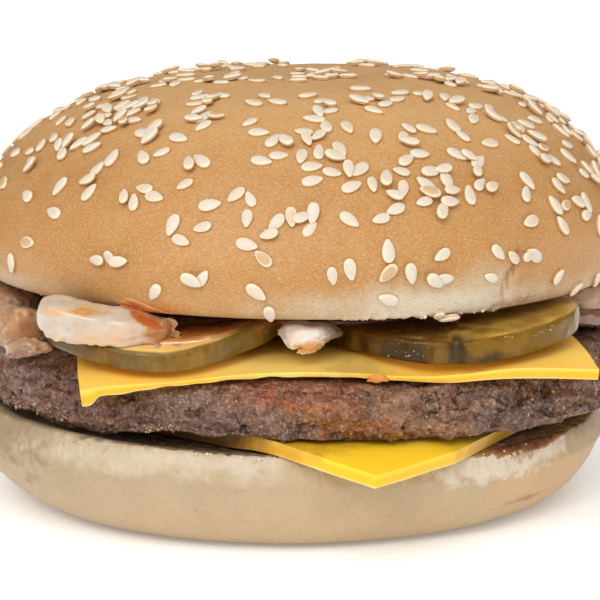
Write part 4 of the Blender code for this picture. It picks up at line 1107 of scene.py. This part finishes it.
# share of the way down, angle in degrees, how many, how far they spread in mm
seedClusters = [
    (0.33, -137, 17, 4.8), (0.47, -141, 7, 4.2), (0.54, -179, 3, 3), (0.46, -176, 3, 3), (0.41, -160, 1, 1),
    (0.28, -172, 4, 3.5), (0.46, -121, 4, 3.6), (0.58, -155, 5, 4.6), (0.59, -127, 3, 3), (0.58, -110, 2, 2),
    (0.67, -116, 4, 4.4), (0.23, -120, 6, 3.4), (0.34, -114, 5, 3.4), (0.38, -101, 2, 2.6), (0.22, -101, 2, 3),
    (0.09, -131, 7, 3.6), (0.16, -153, 4, 3.4), (0.19, -171, 3, 3), (0.03, 147, 4, 4), (0.08, -98, 3, 4),
    (0.46, -93, 3, 2.8), (0.70, -146, 1, 1), (0.70, -101, 3, 3.4), (0.64, -97, 1, 1), (0.04, -66, 12, 5),
    (0.07, 22, 5, 4), (0.26, -83, 5, 4), (0.36, -84, 3, 3.4), (0.28, -68, 5, 3.6), (0.25, -54, 4, 3.2),
    (0.39, -77, 1, 1), (0.44, -82, 2, 2.5), (0.42, -60, 1, 1), (0.20, -21, 7, 4), (0.33, -14, 9, 4.6),
    (0.33, -43, 4, 3.2), (0.39, -36, 5, 4.4), (0.46, -8, 8, 4.4), (0.53, -36, 10, 5.4), (0.46, -50, 3, 3.2),
    (0.51, -63, 8, 4.8), (0.51, -84, 8, 4), (0.62, -79, 3, 2.6), (0.60, -74, 1, 1), (0.64, -66, 11, 4.4),
    (0.60, -53, 5, 2.8), (0.71, -47, 1, 1), (0.65, -23, 6, 3.6), (0.75, -34, 4, 3.2), (0.99, -121, 3, 2.6),
    (1.33, -112, 1, 1), (1.15, -104, 2, 1.8), (0.81, -107, 2, 3), (0.90, -97, 2, 2.6), (0.94, -94, 1, 1),
    (1.31, -95, 1, 1), (0.82, -91, 4, 4.2), (1.12, -83, 1, 1), (0.71, -89, 2, 2.4), (1.68, -93, 1, 1),
    (0.72, -86, 1, 1), (0.77, -81, 1, 1), (0.76, -75, 1, 1), (0.91, -75, 1, 1), (1.11, -75, 1, 1),
    (1.11, -73, 2, 2.2), (1.41, -75, 1, 1), (1.25, -66, 2, 2.2), (1.86, -65, 2, 1.8), (0.96, -65, 1, 1),
    (0.71, -71, 4, 3.4), (0.75, -65, 3, 3), (1.26, -57, 1, 1), (0.99, -56, 1, 1), (1.04, -52, 2, 2.6),
    (0.88, -40, 1, 1), (0.84, -31, 1, 1), (1.38, -40, 1, 1), (1.68, -33, 1, 1),
    (0.42, -178, 2, 2.2), (0.36, -176, 3, 2.6), (0.31, -170, 2, 2.2), (0.25, -179, 3, 2.6), (0.21, -166, 3, 2.6),
    (0.17, -167, 2, 2.2), (0.14, 163, 3, 3), (0.10, -172, 2, 2.2), (0.09, 152, 4, 3), (0.08, 126, 5, 3.6),
    (0.03, 120, 3, 2.6), (0.12, -31, 3, 2.6), (0.17, -26, 3, 2.4), (0.32, 5, 4, 2.6), (0.42, -14, 3, 2.4),
    (0.58, -9, 4, 2.6), (0.64, -3, 3, 2.4), (0.44, -153, 2, 2.2), (0.35, -151, 3, 2.6), (0.26, -150, 4, 3),
    (0.26, -138, 6, 4.4), (0.40, -134, 4, 3.6),
]


def skinSpot(share, angle):
    def spot(atShare, atAngle):
        radius, height = crownPoint(atShare)
        return crownPlace(radius * math.cos(atAngle), radius * math.sin(atAngle), height)

    step = 0.01
    here = spot(share, angle)
    down = spot(share + step, angle) - spot(share - step, angle)
    across = spot(share, angle + step) - spot(share, angle - step)
    return here, down.cross(across).normalized(), down.normalized()


def seedDensity(share, angle):
    cover = 1.0 - 0.86 * smoothStep(share, 0.42, 0.75)
    return cover * (0.8 + 0.2 * math.cos(angle - math.radians(20)))


def firstSeeds():
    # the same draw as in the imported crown
    rng = random.Random(seedRule["seed"])
    rows = 200
    shares = [0.05 + 1.6 * row / rows for row in range(rows)]
    weights = []
    for share in shares:
        radius, height = crownPoint(share)
        nextRadius, nextHeight = crownPoint(share + 1.6 / rows)
        weights.append(radius * math.hypot(nextRadius - radius, nextHeight - height))
    seeds = []
    while len(seeds) < seedRule["count"]:
        share = rng.choices(shares, weights)[0] + rng.uniform(0.0, 1.6 / rows)
        angle = rng.uniform(-math.pi, math.pi)
        if rng.random() > seedDensity(share, angle):
            continue
        middle = skinSpot(share, angle)[0]
        for _ in range(rng.choice((1, 2, 3, 3, 4, 5))):
            turn = rng.uniform(-math.pi, math.pi)
            reach = rng.uniform(0.2, 1.0) * seedRule["reach"]
            nearAngle = angle + reach * math.cos(turn) / crownForm["radius"] / max(share, 0.15)
            nearShare = share + reach * math.sin(turn) / (0.75 * crownForm["radius"])
            if not 0.04 < nearShare < 1.75:
                continue
            spot, out, down = skinSpot(nearShare, nearAngle)
            if any((spot - other[0]).length < seedRule["spacing"] for other in seeds):
                continue
            if (spot - middle).length > 1.5 * seedRule["reach"]:
                continue
            along = Matrix.Rotation(rng.uniform(-math.pi, math.pi), 3, out) @ down
            seeds.append((spot, out, along, seedRule["length"] * rng.uniform(0.9, 1.1)))
    return seeds[:seedRule["count"]]


def keptSeeds(seeds):
    kept = []
    for seed in sorted(seeds, key=lambda item: -item[3]):
        if all((seed[0] - other[0]).length > seedRule["keptSpacing"] for other in kept):
            kept.append(seed)
    return kept[:seedRule["kept"]]


def shareAt(radius):
    # how far down the dome a place lies, from its distance to the axis
    return 2.0 / math.pi * math.asin(min(radius / crownForm["radius"], 1.0) ** (0.5 * crownForm["planPower"]))


def addCluster(seeds, share, angle, count, size, rng):
    # seeds that lie close together, now and then one on another
    middle, out, down = skinSpot(share, angle)
    across = out.cross(down)
    placed = sum((middle - other[0]).length < size * mm for other in seeds)
    if placed >= count:
        return
    for _ in range(12 * count):
        turn, reach = rng.uniform(-math.pi, math.pi), math.sqrt(rng.random()) * size * mm
        aim = middle + (across * math.cos(turn) + down * math.sin(turn)) * reach
        nearAngle = math.atan2(aim.y, aim.x - crownForm["centreX"])
        nearShare = share + reach * math.sin(turn) / (0.75 * crownForm["radius"])
        if share < 0.4:
            nearShare = shareAt(math.hypot(aim.x - crownForm["centreX"], aim.y))
        if not 0.02 < nearShare < 1.9:
            continue
        spot, out2, down2 = skinSpot(nearShare, nearAngle)
        nearest = min((spot - other[0]).length for other in seeds)
        if nearest < seedRule["closest"]:
            continue
        lift = 0.55 * mm if nearest < 2.2 * mm else 0.0
        along = Matrix.Rotation(rng.uniform(-math.pi, math.pi), 3, out2) @ down2
        tilt = Matrix.Rotation(rng.uniform(-0.05, 0.05) + (0.15 if lift else 0.0), 3, out2.cross(along))
        seeds.append((spot + out2 * lift, tilt @ out2, tilt @ along, seedRule["length"] * rng.uniform(0.82, 1.06)))
        placed += 1
        if placed >= count:
            return


def allSeeds():
    seeds = keptSeeds(firstSeeds())
    rng = random.Random(seedRule["seed"] + 5)
    for share, degrees, count, size in seedClusters:
        addCluster(seeds, share, math.radians(degrees), count, size, rng)
    # the far side, which the photo doesn't show, in the same manner
    for _ in range(26):
        share, angle = 0.1 + 0.75 * math.sqrt(rng.random()), math.radians(rng.uniform(5, 160))
        addCluster(seeds, share, angle, rng.choice((3, 5, 7, 9)), rng.uniform(3.0, 6.0), rng)
    for _ in range(14):
        share, angle = rng.uniform(0.8, 1.4), math.radians(rng.uniform(-20, 215))
        addCluster(seeds, share, angle, rng.choice((1, 2, 3)), 3.0, rng)
    return seeds


def seedTree():
    tree, given = startTree("sesameSeeds", ("Length", "Width", "Thickness", "Point", "Dent"), "Hull")
    ball = nodeOf(tree, "GeometryNodeMeshUVSphere", {"Segments": 12, "Rings": 7, "Radius": 1.0}).outputs[0]
    lying = {"Geometry": ball, "Rotation": (0.0, math.radians(90), 0.0)}
    lying = nodeOf(tree, "GeometryNodeTransform", lying).outputs[0]
    place = nodeOf(tree, "GeometryNodeInputPosition").outputs[0]
    parts = nodeOf(tree, "ShaderNodeSeparateXYZ", {0: place}).outputs

    def half(label):
        return mathOf(tree, "MULTIPLY", given[label], 0.5)

    tip = mathOf(tree, "MULTIPLY", spread(tree, parts["X"], 0.1, 1.0), given["Point"])
    narrow = mathOf(tree, "SUBTRACT", 1.0, mathOf(tree, "MULTIPLY", parts["X"], 0.22))
    narrow = mathOf(tree, "SUBTRACT", narrow, tip)
    dent = spread(tree, mathOf(tree, "ABSOLUTE", parts["Z"]), 0.7, 1.0, 0.0, given["Dent"])
    flat = mathOf(tree, "MULTIPLY", parts["Z"], mathOf(tree, "SUBTRACT", 1.0, dent))
    along = mathOf(tree, "MULTIPLY", parts["X"], half("Length"))
    across = mathOf(tree, "MULTIPLY", mathOf(tree, "MULTIPLY", parts["Y"], narrow), half("Width"))
    up = mathOf(tree, "MULTIPLY", flat, half("Thickness"))
    shape = nodeOf(tree, "ShaderNodeCombineXYZ", {"X": along, "Y": across, "Z": up}).outputs[0]
    rim = mathOf(tree, "SUBTRACT", 1.0, mathOf(tree, "ABSOLUTE", parts["Z"]))
    marked = {"Geometry": lying, "Name": "rim", "Value": rim}
    marked = nodeOf(tree, "GeometryNodeStoreNamedAttribute", marked, data_type="FLOAT", domain="POINT").outputs[0]
    hull = nodeOf(tree, "GeometryNodeSetPosition", {"Geometry": marked, "Position": shape}).outputs[0]

    def stored(label, kind):
        return nodeOf(tree, "GeometryNodeInputNamedAttribute", {"Name": label}, data_type=kind).outputs[0]

    axes = {"Primary Axis": stored("outward", "FLOAT_VECTOR"), "Secondary Axis": stored("along", "FLOAT_VECTOR")}
    lie = nodeOf(tree, "FunctionNodeAxesToRotation", axes, primary_axis="Z", secondary_axis="X").outputs[0]
    spots = {"Points": given["Geometry"], "Instance": hull, "Rotation": lie, "Scale": stored("grown", "FLOAT")}
    return endTree(tree, nodeOf(tree, "GeometryNodeInstanceOnPoints", spots).outputs[0], given["Hull"])


def seedMaterial():
    material, tree, shader, coords = startMaterial(
        "sesameHull", (1.0, 0.8, 0.5), Subsurface_Weight=0.2, Subsurface_Scale=0.0008, Roughness=0.4,
        Specular_IOR_Level=0.4)
    shade = nodeOf(tree, "ShaderNodeAttribute", attribute_name="shade").outputs["Fac"]
    rim = nodeOf(tree, "ShaderNodeAttribute", attribute_name="rim").outputs["Fac"]
    fine = noiseOf(tree, coords, 1200.0, 2.0, 0.6)
    colour = tint(tree, spread(tree, shade, 0.0, 1.0), (0.665, 0.595, 0.50), (0.66, 0.545, 0.42))
    colour = tint(tree, spread(tree, shade, 0.94, 0.97, 0.0, 0.75), colour, (0.53, 0.33, 0.14))
    colour = tint(tree, spread(tree, rim, 0.22, 0.50, 0.0, 0.85), colour, (0.84, 0.70, 0.48))
    # painted shadow: a warm dark line round each seed's outline
    colour = tint(tree, spread(tree, rim, 0.62, 0.95, 0.0, 0.9), colour, (0.52, 0.29, 0.12))
    colour = tint(tree, spread(tree, fine, 0.45, 0.75, 0.0, 0.3), colour, (0.90, 0.82, 0.7), "MULTIPLY")
    tree.links.new(colour, shader.inputs["Base Color"])
    tree.links.new(bumpOf(tree, fine, 0.2, 0.10), shader.inputs["Normal"])
    return material


def makeSeeds():
    seeds = allSeeds()
    rng = random.Random(seedRule["seed"] + 1)
    mesh = bpy.data.meshes.new("sesameSeeds")
    mesh.from_pydata([tuple(spot + out * seedRule["rise"]) for spot, out, along, length in seeds], [], [])
    kinds = {"outward": "FLOAT_VECTOR", "along": "FLOAT_VECTOR", "grown": "FLOAT", "shade": "FLOAT"}
    for label, kind in kinds.items():
        mesh.attributes.new(label, kind, "POINT")
    for index, (spot, out, along, length) in enumerate(seeds):
        mesh.attributes["outward"].data[index].vector = out
        mesh.attributes["along"].data[index].vector = along
        mesh.attributes["grown"].data[index].value = length / seedRule["length"]
        mesh.attributes["shade"].data[index].value = rng.random()
    hull = seedMaterial()
    piece = addPiece("sesameSeeds", mesh, hull)
    useTree(piece, seedTree(), {"Length": seedRule["hull"], "Width": seedRule["width"],
                                "Thickness": seedRule["thickness"], "Point": 0.13, "Dent": 0.25, "Hull": hull})
    print("  seeds:", len(seeds))
    return finishPiece(settle(piece), "bun_crown", "crown")


makeSeeds()
print("seeds done")


# Ketchup: thin lenses that lie on what is under them

sauceLook = {"spokes": 72, "rings": 16, "under": 0.15 * mm, "jump": 1.0 * mm, "film": 0.04 * mm}


def sauceMaterial(name, thick, thin, gloss):
    material, tree, shader, coords = startMaterial(
        name, (1.0, 0.35, 0.1), Subsurface_Weight=0.2, Subsurface_Scale=0.0008, Specular_IOR_Level=0.4,
        Coat_Weight=0.8, Coat_Roughness=gloss)
    broad = noiseOf(tree, coords, 320.0, 3.0, 0.6)
    fine = noiseOf(tree, coords, 1100.0, 3.0, 0.6)
    body = nodeOf(tree, "ShaderNodeAttribute", attribute_name="body").outputs["Fac"]
    colour = tint(tree, spread(tree, body, 0.15, 0.8), thin, thick)
    colour = tint(tree, spread(tree, broad, 0.45, 0.7, 0.0, 0.5), colour, thin)
    tree.links.new(colour, shader.inputs["Base Color"])
    tree.links.new(spread(tree, broad, 0.3, 0.7, 0.2, 0.4), shader.inputs["Roughness"])
    tree.links.new(bumpOf(tree, fine, 0.5, 0.2, bumpOf(tree, broad, 0.4, 0.4)), shader.inputs["Normal"])
    return material


def surfaceOf(*names):
    points, faces = [], []
    for name in names:
        mesh, start = made[name].data, len(points)
        points += [vertex.co.copy() for vertex in mesh.vertices]
        faces += [[start + index for index in face.vertices] for face in mesh.polygons]
    return BVHTree.FromPolygons(points, faces)


def layOn(name, surface, aim, thickness, ragged, offset, material, slot):
    # aim(u, v) gives where the sauce falls from and which way, for a place on the unit disc
    look = sauceLook
    form = bmesh.new()
    body = form.verts.layers.float.new("body")
    rings = []
    for ring in range(look["rings"] + 1):
        t = ring / look["rings"]
        row = []
        for spoke in range(look["spokes"]):
            angle = 2.0 * math.pi * spoke / look["spokes"]
            wobble = wave(math.cos(angle), math.sin(angle), 0.0, 0.6, offset)
            wobble += 0.5 * wave(math.cos(angle), math.sin(angle), 0.0, 0.22, offset + 5.0)
            reach = t * (1.0 + ragged * wobble)
            start, way = aim(reach * math.cos(angle), reach * math.sin(angle))
            far = surface.ray_cast(start, way)[3]
            if rings:
                before = rings[-1][spoke][2]
                if far is None or abs(far - before) > look["jump"]:
                    far = before
            swell = 1.0 + 0.5 * wave(start.x, start.y, start.z, 2.2 * mm, offset)
            share = math.sqrt(max(1.0 - t * t, 0.0)) * swell
            top = start + way * (far - look["film"] - thickness * share)
            row.append((top, start + way * (far + look["under"]), far, share))
        rings.append(row)
    # the middle ring has no width, so one point stands for it above and below
    rings[0] = rings[0][:1]
    upper, lower = [], []
    for row in rings:
        upper.append([form.verts.new(top) for top, base, far, share in row])
        lower.append([form.verts.new(base) for top, base, far, share in row])
        for vertex, spot in zip(upper[-1], row):
            vertex[body] = spot[3]
    for spoke in range(look["spokes"]):
        after = (spoke + 1) % look["spokes"]
        form.faces.new((upper[0][0], upper[1][spoke], upper[1][after]))
        form.faces.new((lower[0][0], lower[1][after], lower[1][spoke]))
        for side in (upper, lower):
            for near, outer in zip(side[1:], side[2:]):
                form.faces.new((near[spoke], outer[spoke], outer[after], near[after]))
        form.faces.new((upper[-1][spoke], lower[-1][spoke], lower[-1][after], upper[-1][after]))
    bmesh.ops.recalc_face_normals(form, faces=form.faces)
    return finishPiece(addPiece(name, meshFrom(name, form), material), slot)


def fromFront(x, z, width, height, turn=0.0):
    # an aim for sauce that shows from the front, sizes in mm
    c, s = math.cos(math.radians(turn)), math.sin(math.radians(turn))

    def aim(u, v):
        a, b = 0.5 * width * u, 0.5 * height * v
        return Vector(((x + a * c - b * s) * mm, -70.0 * mm, (z + a * s + b * c) * mm)), Vector((0.0, 1.0, 0.0))

    return aim


def fromAbove(x, y, z, width, depth):
    def aim(u, v):
        return Vector(((x + 0.5 * width * u) * mm, (y + 0.5 * depth * v) * mm, z * mm)), Vector((0.0, 0.0, -1.0))

    return aim


def alongRim(start, end, radius, width, z):
    # an arc over the heel's rim, angles in degrees, sizes in mm
    def aim(u, v):
        angle = math.radians(start + (end - start) * (0.5 + 0.5 * u))
        r = (radius + 0.5 * width * v) * mm
        return Vector((r * math.cos(angle), r * math.sin(angle), z * mm)), Vector((0.0, 0.0, -1.0))

    return aim


redSauce = sauceMaterial("ketchup", (0.44, 0.085, 0.012), (0.66, 0.30, 0.10), 0.06)
beadSauce = sauceMaterial("orangeBead", (0.72, 0.24, 0.02), (0.62, 0.25, 0.04), 0.05)
oilSauce = sauceMaterial("orangeOil", (0.60, 0.25, 0.05), (0.74, 0.50, 0.27), 0.05)
juiceSauce = sauceMaterial("onionJuice", (0.42, 0.165, 0.050), (0.60, 0.37, 0.20), 0.04)
filmSauce = sauceMaterial("sauceFilm", (0.38, 0.105, 0.018), (0.56, 0.26, 0.065), 0.08)
# very dark sauce, painted shade for the gap under the crown
brownSauce = sauceMaterial("cookedSauce", (0.12, 0.035, 0.012), (0.24, 0.085, 0.025), 0.12)
rimSauce = sauceMaterial("rimSauce", (0.15, 0.048, 0.014), (0.40, 0.19, 0.06), 0.12)
onionTop = surfaceOf("onionWhite", "pickleLeft")
layOn("onionJuice", onionTop, fromFront(-17.0, 32.5, 5.0, 3.2, -10), 0.4 * mm, 0.6, 1.0, juiceSauce, "onion")
layOn("ketchupEnd", onionTop, fromFront(-19.2, 34.5, 5.6, 1.2, -24), 0.35 * mm, 0.4, 1.6, redSauce, "onion")
layOn("ketchupTongue", surfaceOf("pickleLeft"), fromAbove(-14.5, -46.0, 40.0, 9.0, 2.4),
      0.35 * mm, 0.5, 2.6, oilSauce, "onion")
layOn("ketchupSmear", surfaceOf("onionWhite", "bunCrown"), fromFront(-20.0, 36.0, 9.0, 1.6, -14),
      0.5 * mm, 0.4, 2.0, redSauce, "onion")
layOn("ketchupDrop", onionTop, fromFront(-28.4, 36.0, 3.4, 0.9, -6), 0.16 * mm, 0.3, 3.0, oilSauce, "onion")
layOn("ketchupPool", surfaceOf("pickleLeft"), fromAbove(-12.0, -41.5, 40.0, 15.0, 9.0),
      0.3 * mm, 0.3, 4.0, filmSauce, "pickle")
layOn("ketchupDrip", surfaceOf("onionCurl"), fromFront(4.0, 30.6, 4.2, 1.7), 0.2 * mm, 0.5, 5.0, oilSauce, "onion")
layOn("ketchupBead", surfaceOf("cheeseUpper", "grilledPatty"), fromFront(13.6, 25.9, 3.4, 1.2),
      0.45 * mm, 0.35, 6.0, beadSauce, "cheese")
layOn("heelSauce", surfaceOf("heelBread", "cheeseLower"), alongRim(-60, -26, 49.3, 1.3, 30.0),
      0.25 * mm, 0.3, 7.0, rimSauce, "bun_heel")


def makeSauceBed():
    # the sauce between the crown and what lies under it, an uneven cake of it, coloured very dark as painted shade
    # that fills the gap
    form = bmesh.new()
    bmesh.ops.create_icosphere(form, subdivisions=6, radius=1.0)
    body = form.verts.layers.float.new("body")
    for vertex in form.verts:
        u, v, w = vertex.co
        angle = math.atan2(v, u)
        radius = (39.0 + 5.0 * wave(math.cos(angle), math.sin(angle), 0.0, 0.6, 4.0)) * mm
        right = bell(angle, 0.0, 0.5)
        radius += 17.0 * mm * right
        radius += 0.7 * mm * wave(u * 39.0, v * 39.0, w * 9.0, 2.0, 6.0)
        flat = math.copysign(abs(w) ** (0.7 - 0.4 * right), w)
        rough = 0.35 * mm * wave(u * 39.0, v * 39.0, 0.0, 3.5, 9.0)
        vertex[body] = 0.5 + 0.5 * wave(u * 39.0, v * 39.0, 0.0, 5.0, 3.0)
        vertex.co = (radius * u, radius * v, (32.4 - 4.9 * right) * mm + (1.7 + 0.7 * right) * mm * flat + rough)
    finishPiece(addPiece("sauceBed", meshFrom("sauceBed", form), brownSauce), "bun_crown")


makeSauceBed()
print("sauce done")


# Beads of fat on the patty, with small light beads on the patty and the pickles standing in as painted glints, and
# crumbs of bread along the torn edges, by Geometry Nodes

crumbLook = {"Size": 1.0, "Roughness": 0.35, "Fineness": 1.3, "sunk": 0.25, "seed": 12}
# left and right, low and high, all in mm, then how many, and the least and the greatest size in mm
# the many small beads spread over the patty's side stand in as painted glints, and the beads of juice on the pickles
# do too; the rest are beads of fat
fatBands = [(-41.0, -31.0, 17.4, 19.6, 60, 0.25, 0.55), (-21.5, -15.5, 17.4, 19.2, 36, 0.25, 0.5),
            (-38.0, 46.0, 17.5, 25.5, 260, 0.12, 0.28), (20.0, 43.0, 16.8, 22.0, 14, 0.3, 0.65),
            (-7.0, 14.0, 22.0, 25.6, 150, 0.12, 0.22)]
juiceBands = [(29.5, 39.5, 31.4, 34.2, 60, 0.12, 0.30), (13.0, 21.0, 28.6, 31.6, 14, 0.15, 0.30),
              (-6.0, -2.0, 31.0, 34.0, 12, 0.12, 0.25)]
breadBands = [(4.0, 31.0, 33.9, 35.0, 90, 0.25, 0.6), (26.0, 46.0, 11.5, 14.6, 40, 0.2, 0.45),
              (-32.0, 0.0, 14.8, 16.4, 60, 0.2, 0.45)]


def crumbTree():
    tree, given = startTree("crumbs", ("Size", "Roughness", "Fineness"), "Crumb")
    ball = nodeOf(tree, "GeometryNodeMeshIcoSphere", {"Radius": 0.5, "Subdivisions": 2}).outputs[0]
    place = nodeOf(tree, "GeometryNodeInputPosition").outputs[0]
    bumps = nodeOf(tree, "ShaderNodeTexNoise", {"Vector": place, "Scale": given["Fineness"], "Detail": 2.0})
    swell = mathOf(tree, "MULTIPLY", mathOf(tree, "SUBTRACT", bumps.outputs["Fac"], 0.5), given["Roughness"])
    offset = {0: nodeOf(tree, "GeometryNodeInputNormal").outputs[0], 3: mathOf(tree, "MULTIPLY", swell, 3.0)}
    offset = nodeOf(tree, "ShaderNodeVectorMath", offset, operation="SCALE").outputs[0]
    crumb = nodeOf(tree, "GeometryNodeSetPosition", {"Geometry": ball, "Offset": offset}).outputs[0]
    grown = nodeOf(tree, "GeometryNodeInputNamedAttribute", {"Name": "grown"}, data_type="FLOAT").outputs[0]
    turned = nodeOf(tree, "FunctionNodeRandomValue", {0: (0.0,) * 3, 1: (6.28,) * 3}, data_type="FLOAT_VECTOR")
    spots = {"Points": given["Geometry"], "Instance": crumb, "Rotation": turned.outputs[0],
             "Scale": mathOf(tree, "MULTIPLY", grown, given["Size"])}
    return endTree(tree, nodeOf(tree, "GeometryNodeInstanceOnPoints", spots).outputs[0], given["Crumb"])


def crumbMaterial(name, light, dark, clear, gloss):
    material, tree, shader, coords = startMaterial(
        name, (1.0, 0.7, 0.45), Subsurface_Weight=clear, Subsurface_Scale=0.0008, Specular_IOR_Level=0.4,
        Coat_Weight=gloss, Coat_Roughness=0.1)
    patches = noiseOf(tree, coords, 700.0, 2.0, 0.6)
    fine = noiseOf(tree, coords, 3000.0, 2.0, 0.6)
    tree.links.new(tint(tree, spread(tree, patches, 0.35, 0.65), light, dark), shader.inputs["Base Color"])
    tree.links.new(spread(tree, patches, 0.3, 0.7, 0.3, 0.6), shader.inputs["Roughness"])
    tree.links.new(bumpOf(tree, fine, 0.4, 0.06), shader.inputs["Normal"])
    return material


def scatterOn(name, surface, bands, backShare, material, slot):
    # the places are found from the front, and as many again from behind
    rng = random.Random(crumbLook["seed"] + len(name))
    spots, sizes = [], []
    for left, right, low, high, count, least, greatest in bands:
        for index in range(int(count * (1.0 + backShare))):
            side = -1.0 if index < count else 1.0
            x, z = rng.uniform(left, right), rng.uniform(low, high)
            size = least + (greatest - least) * rng.random() ** 2
            start, way = Vector((x * mm, side * 80.0 * mm, z * mm)), Vector((0.0, -side, 0.0))
            spot, normal = surface.ray_cast(start, way)[:2]
            if spot is None or abs(normal.y) < 0.35:
                continue
            spots.append(tuple(spot - way * (0.5 - crumbLook["sunk"]) * size * mm))
            sizes.append(size * mm)
    mesh = bpy.data.meshes.new(name)
    mesh.from_pydata(spots, [], [])
    for size, item in zip(sizes, mesh.attributes.new("grown", "FLOAT", "POINT").data):
        item.value = size
    piece = addPiece(name, mesh, material)
    values = {label: size for label, size in crumbLook.items() if label[0].isupper()}
    useTree(piece, crumbTree(), {**values, "Crumb": material})
    return finishPiece(settle(piece), slot)


# the fatBeads material also serves the small beads that stand in as painted glints
fatMaterial = crumbMaterial("fatBeads", (0.52, 0.38, 0.27), (0.27, 0.155, 0.10), 0.4, 0.8)
breadMaterial = crumbMaterial("breadCrumbs", (0.78, 0.68, 0.52), (0.66, 0.50, 0.32), 0.2, 0.0)
scatterOn("fatBeads", surfaceOf("grilledPatty"), fatBands, 0.8, fatMaterial, "patty")
scatterOn("breadCrumbs", surfaceOf("heelBread", "bunCrown"), breadBands, 0.8, breadMaterial, "bun_heel")
scatterOn("pickleBeads", surfaceOf("pickleRight", "pickleLeft"), juiceBands, 0.0, fatMaterial, "pickle")
print("crumbs done")


# Camera, light and floor

viewFrom = {"target": (2.6, 0.0, 29.4), "distance": 420.0, "elevation": 9.8, "span": 96.2}
studio = {
    "world": 0.70, "mirrored": 0.16, "floorGlow": 0.16,
    # where each light comes from, its strength, and how wide it looks in degrees
    "keyLight": ((-0.30, -1.0, 1.0), 1.5, 50.0),
    "fillLight": ((0.60, -0.9, 0.30), 0.26, 60.0),
    "glint": ((-0.25, -0.80, 0.60), 0.32, 8.0),
}


def makeStudio():
    camera = bpy.data.objects.new("camera", bpy.data.cameras.new("camera"))
    bpy.context.scene.collection.objects.link(camera)
    rise = math.radians(viewFrom["elevation"])
    back = Vector((0.0, -math.cos(rise), math.sin(rise)))
    camera.location = (Vector(viewFrom["target"]) + back * viewFrom["distance"]) * mm
    camera.rotation_euler = (-back).to_track_quat("-Z", "Y").to_euler()
    camera.data.sensor_width = 36.0
    camera.data.lens = 36.0 * viewFrom["distance"] / viewFrom["span"]
    camera.data.clip_start = 0.01
    bpy.context.scene.camera = camera
    for name in ("keyLight", "fillLight", "glint"):
        place, strength, width = studio[name]
        lamp = bpy.data.lights.new(name, "SUN")
        lamp.energy = strength
        lamp.angle = math.radians(width)
        obj = bpy.data.objects.new(name, lamp)
        obj.location = place
        obj.rotation_euler = Vector(place).to_track_quat("Z", "Y").to_euler()
        bpy.context.scene.collection.objects.link(obj)
    world = bpy.data.worlds.new("studio")
    world.use_nodes = True
    tree = world.node_tree
    mirrored = nodeOf(tree, "ShaderNodeLightPath").outputs["Is Glossy Ray"]
    strength = spread(tree, mirrored, 0.0, 1.0, studio["world"], studio["mirrored"])
    tree.nodes["Background"].inputs["Color"].default_value = (1.0, 1.0, 1.0, 1.0)
    tree.links.new(strength, tree.nodes["Background"].inputs["Strength"])
    bpy.context.scene.world = world
    form = bmesh.new()
    bmesh.ops.create_grid(form, x_segments=2, y_segments=2, size=4.0)
    paper, tree, shader, coords = startMaterial("palePaper", Roughness=0.9)
    shader.inputs["Base Color"].default_value = (1.0, 1.0, 1.0, 1.0)
    shader.inputs["Emission Color"].default_value = (1.0, 1.0, 1.0, 1.0)
    shader.inputs["Emission Strength"].default_value = studio["floorGlow"]
    addPiece("floor", meshFrom("floor", form), paper)
    bpy.context.scene.view_settings.view_transform = "Standard"


makeStudio()
print("studio done")
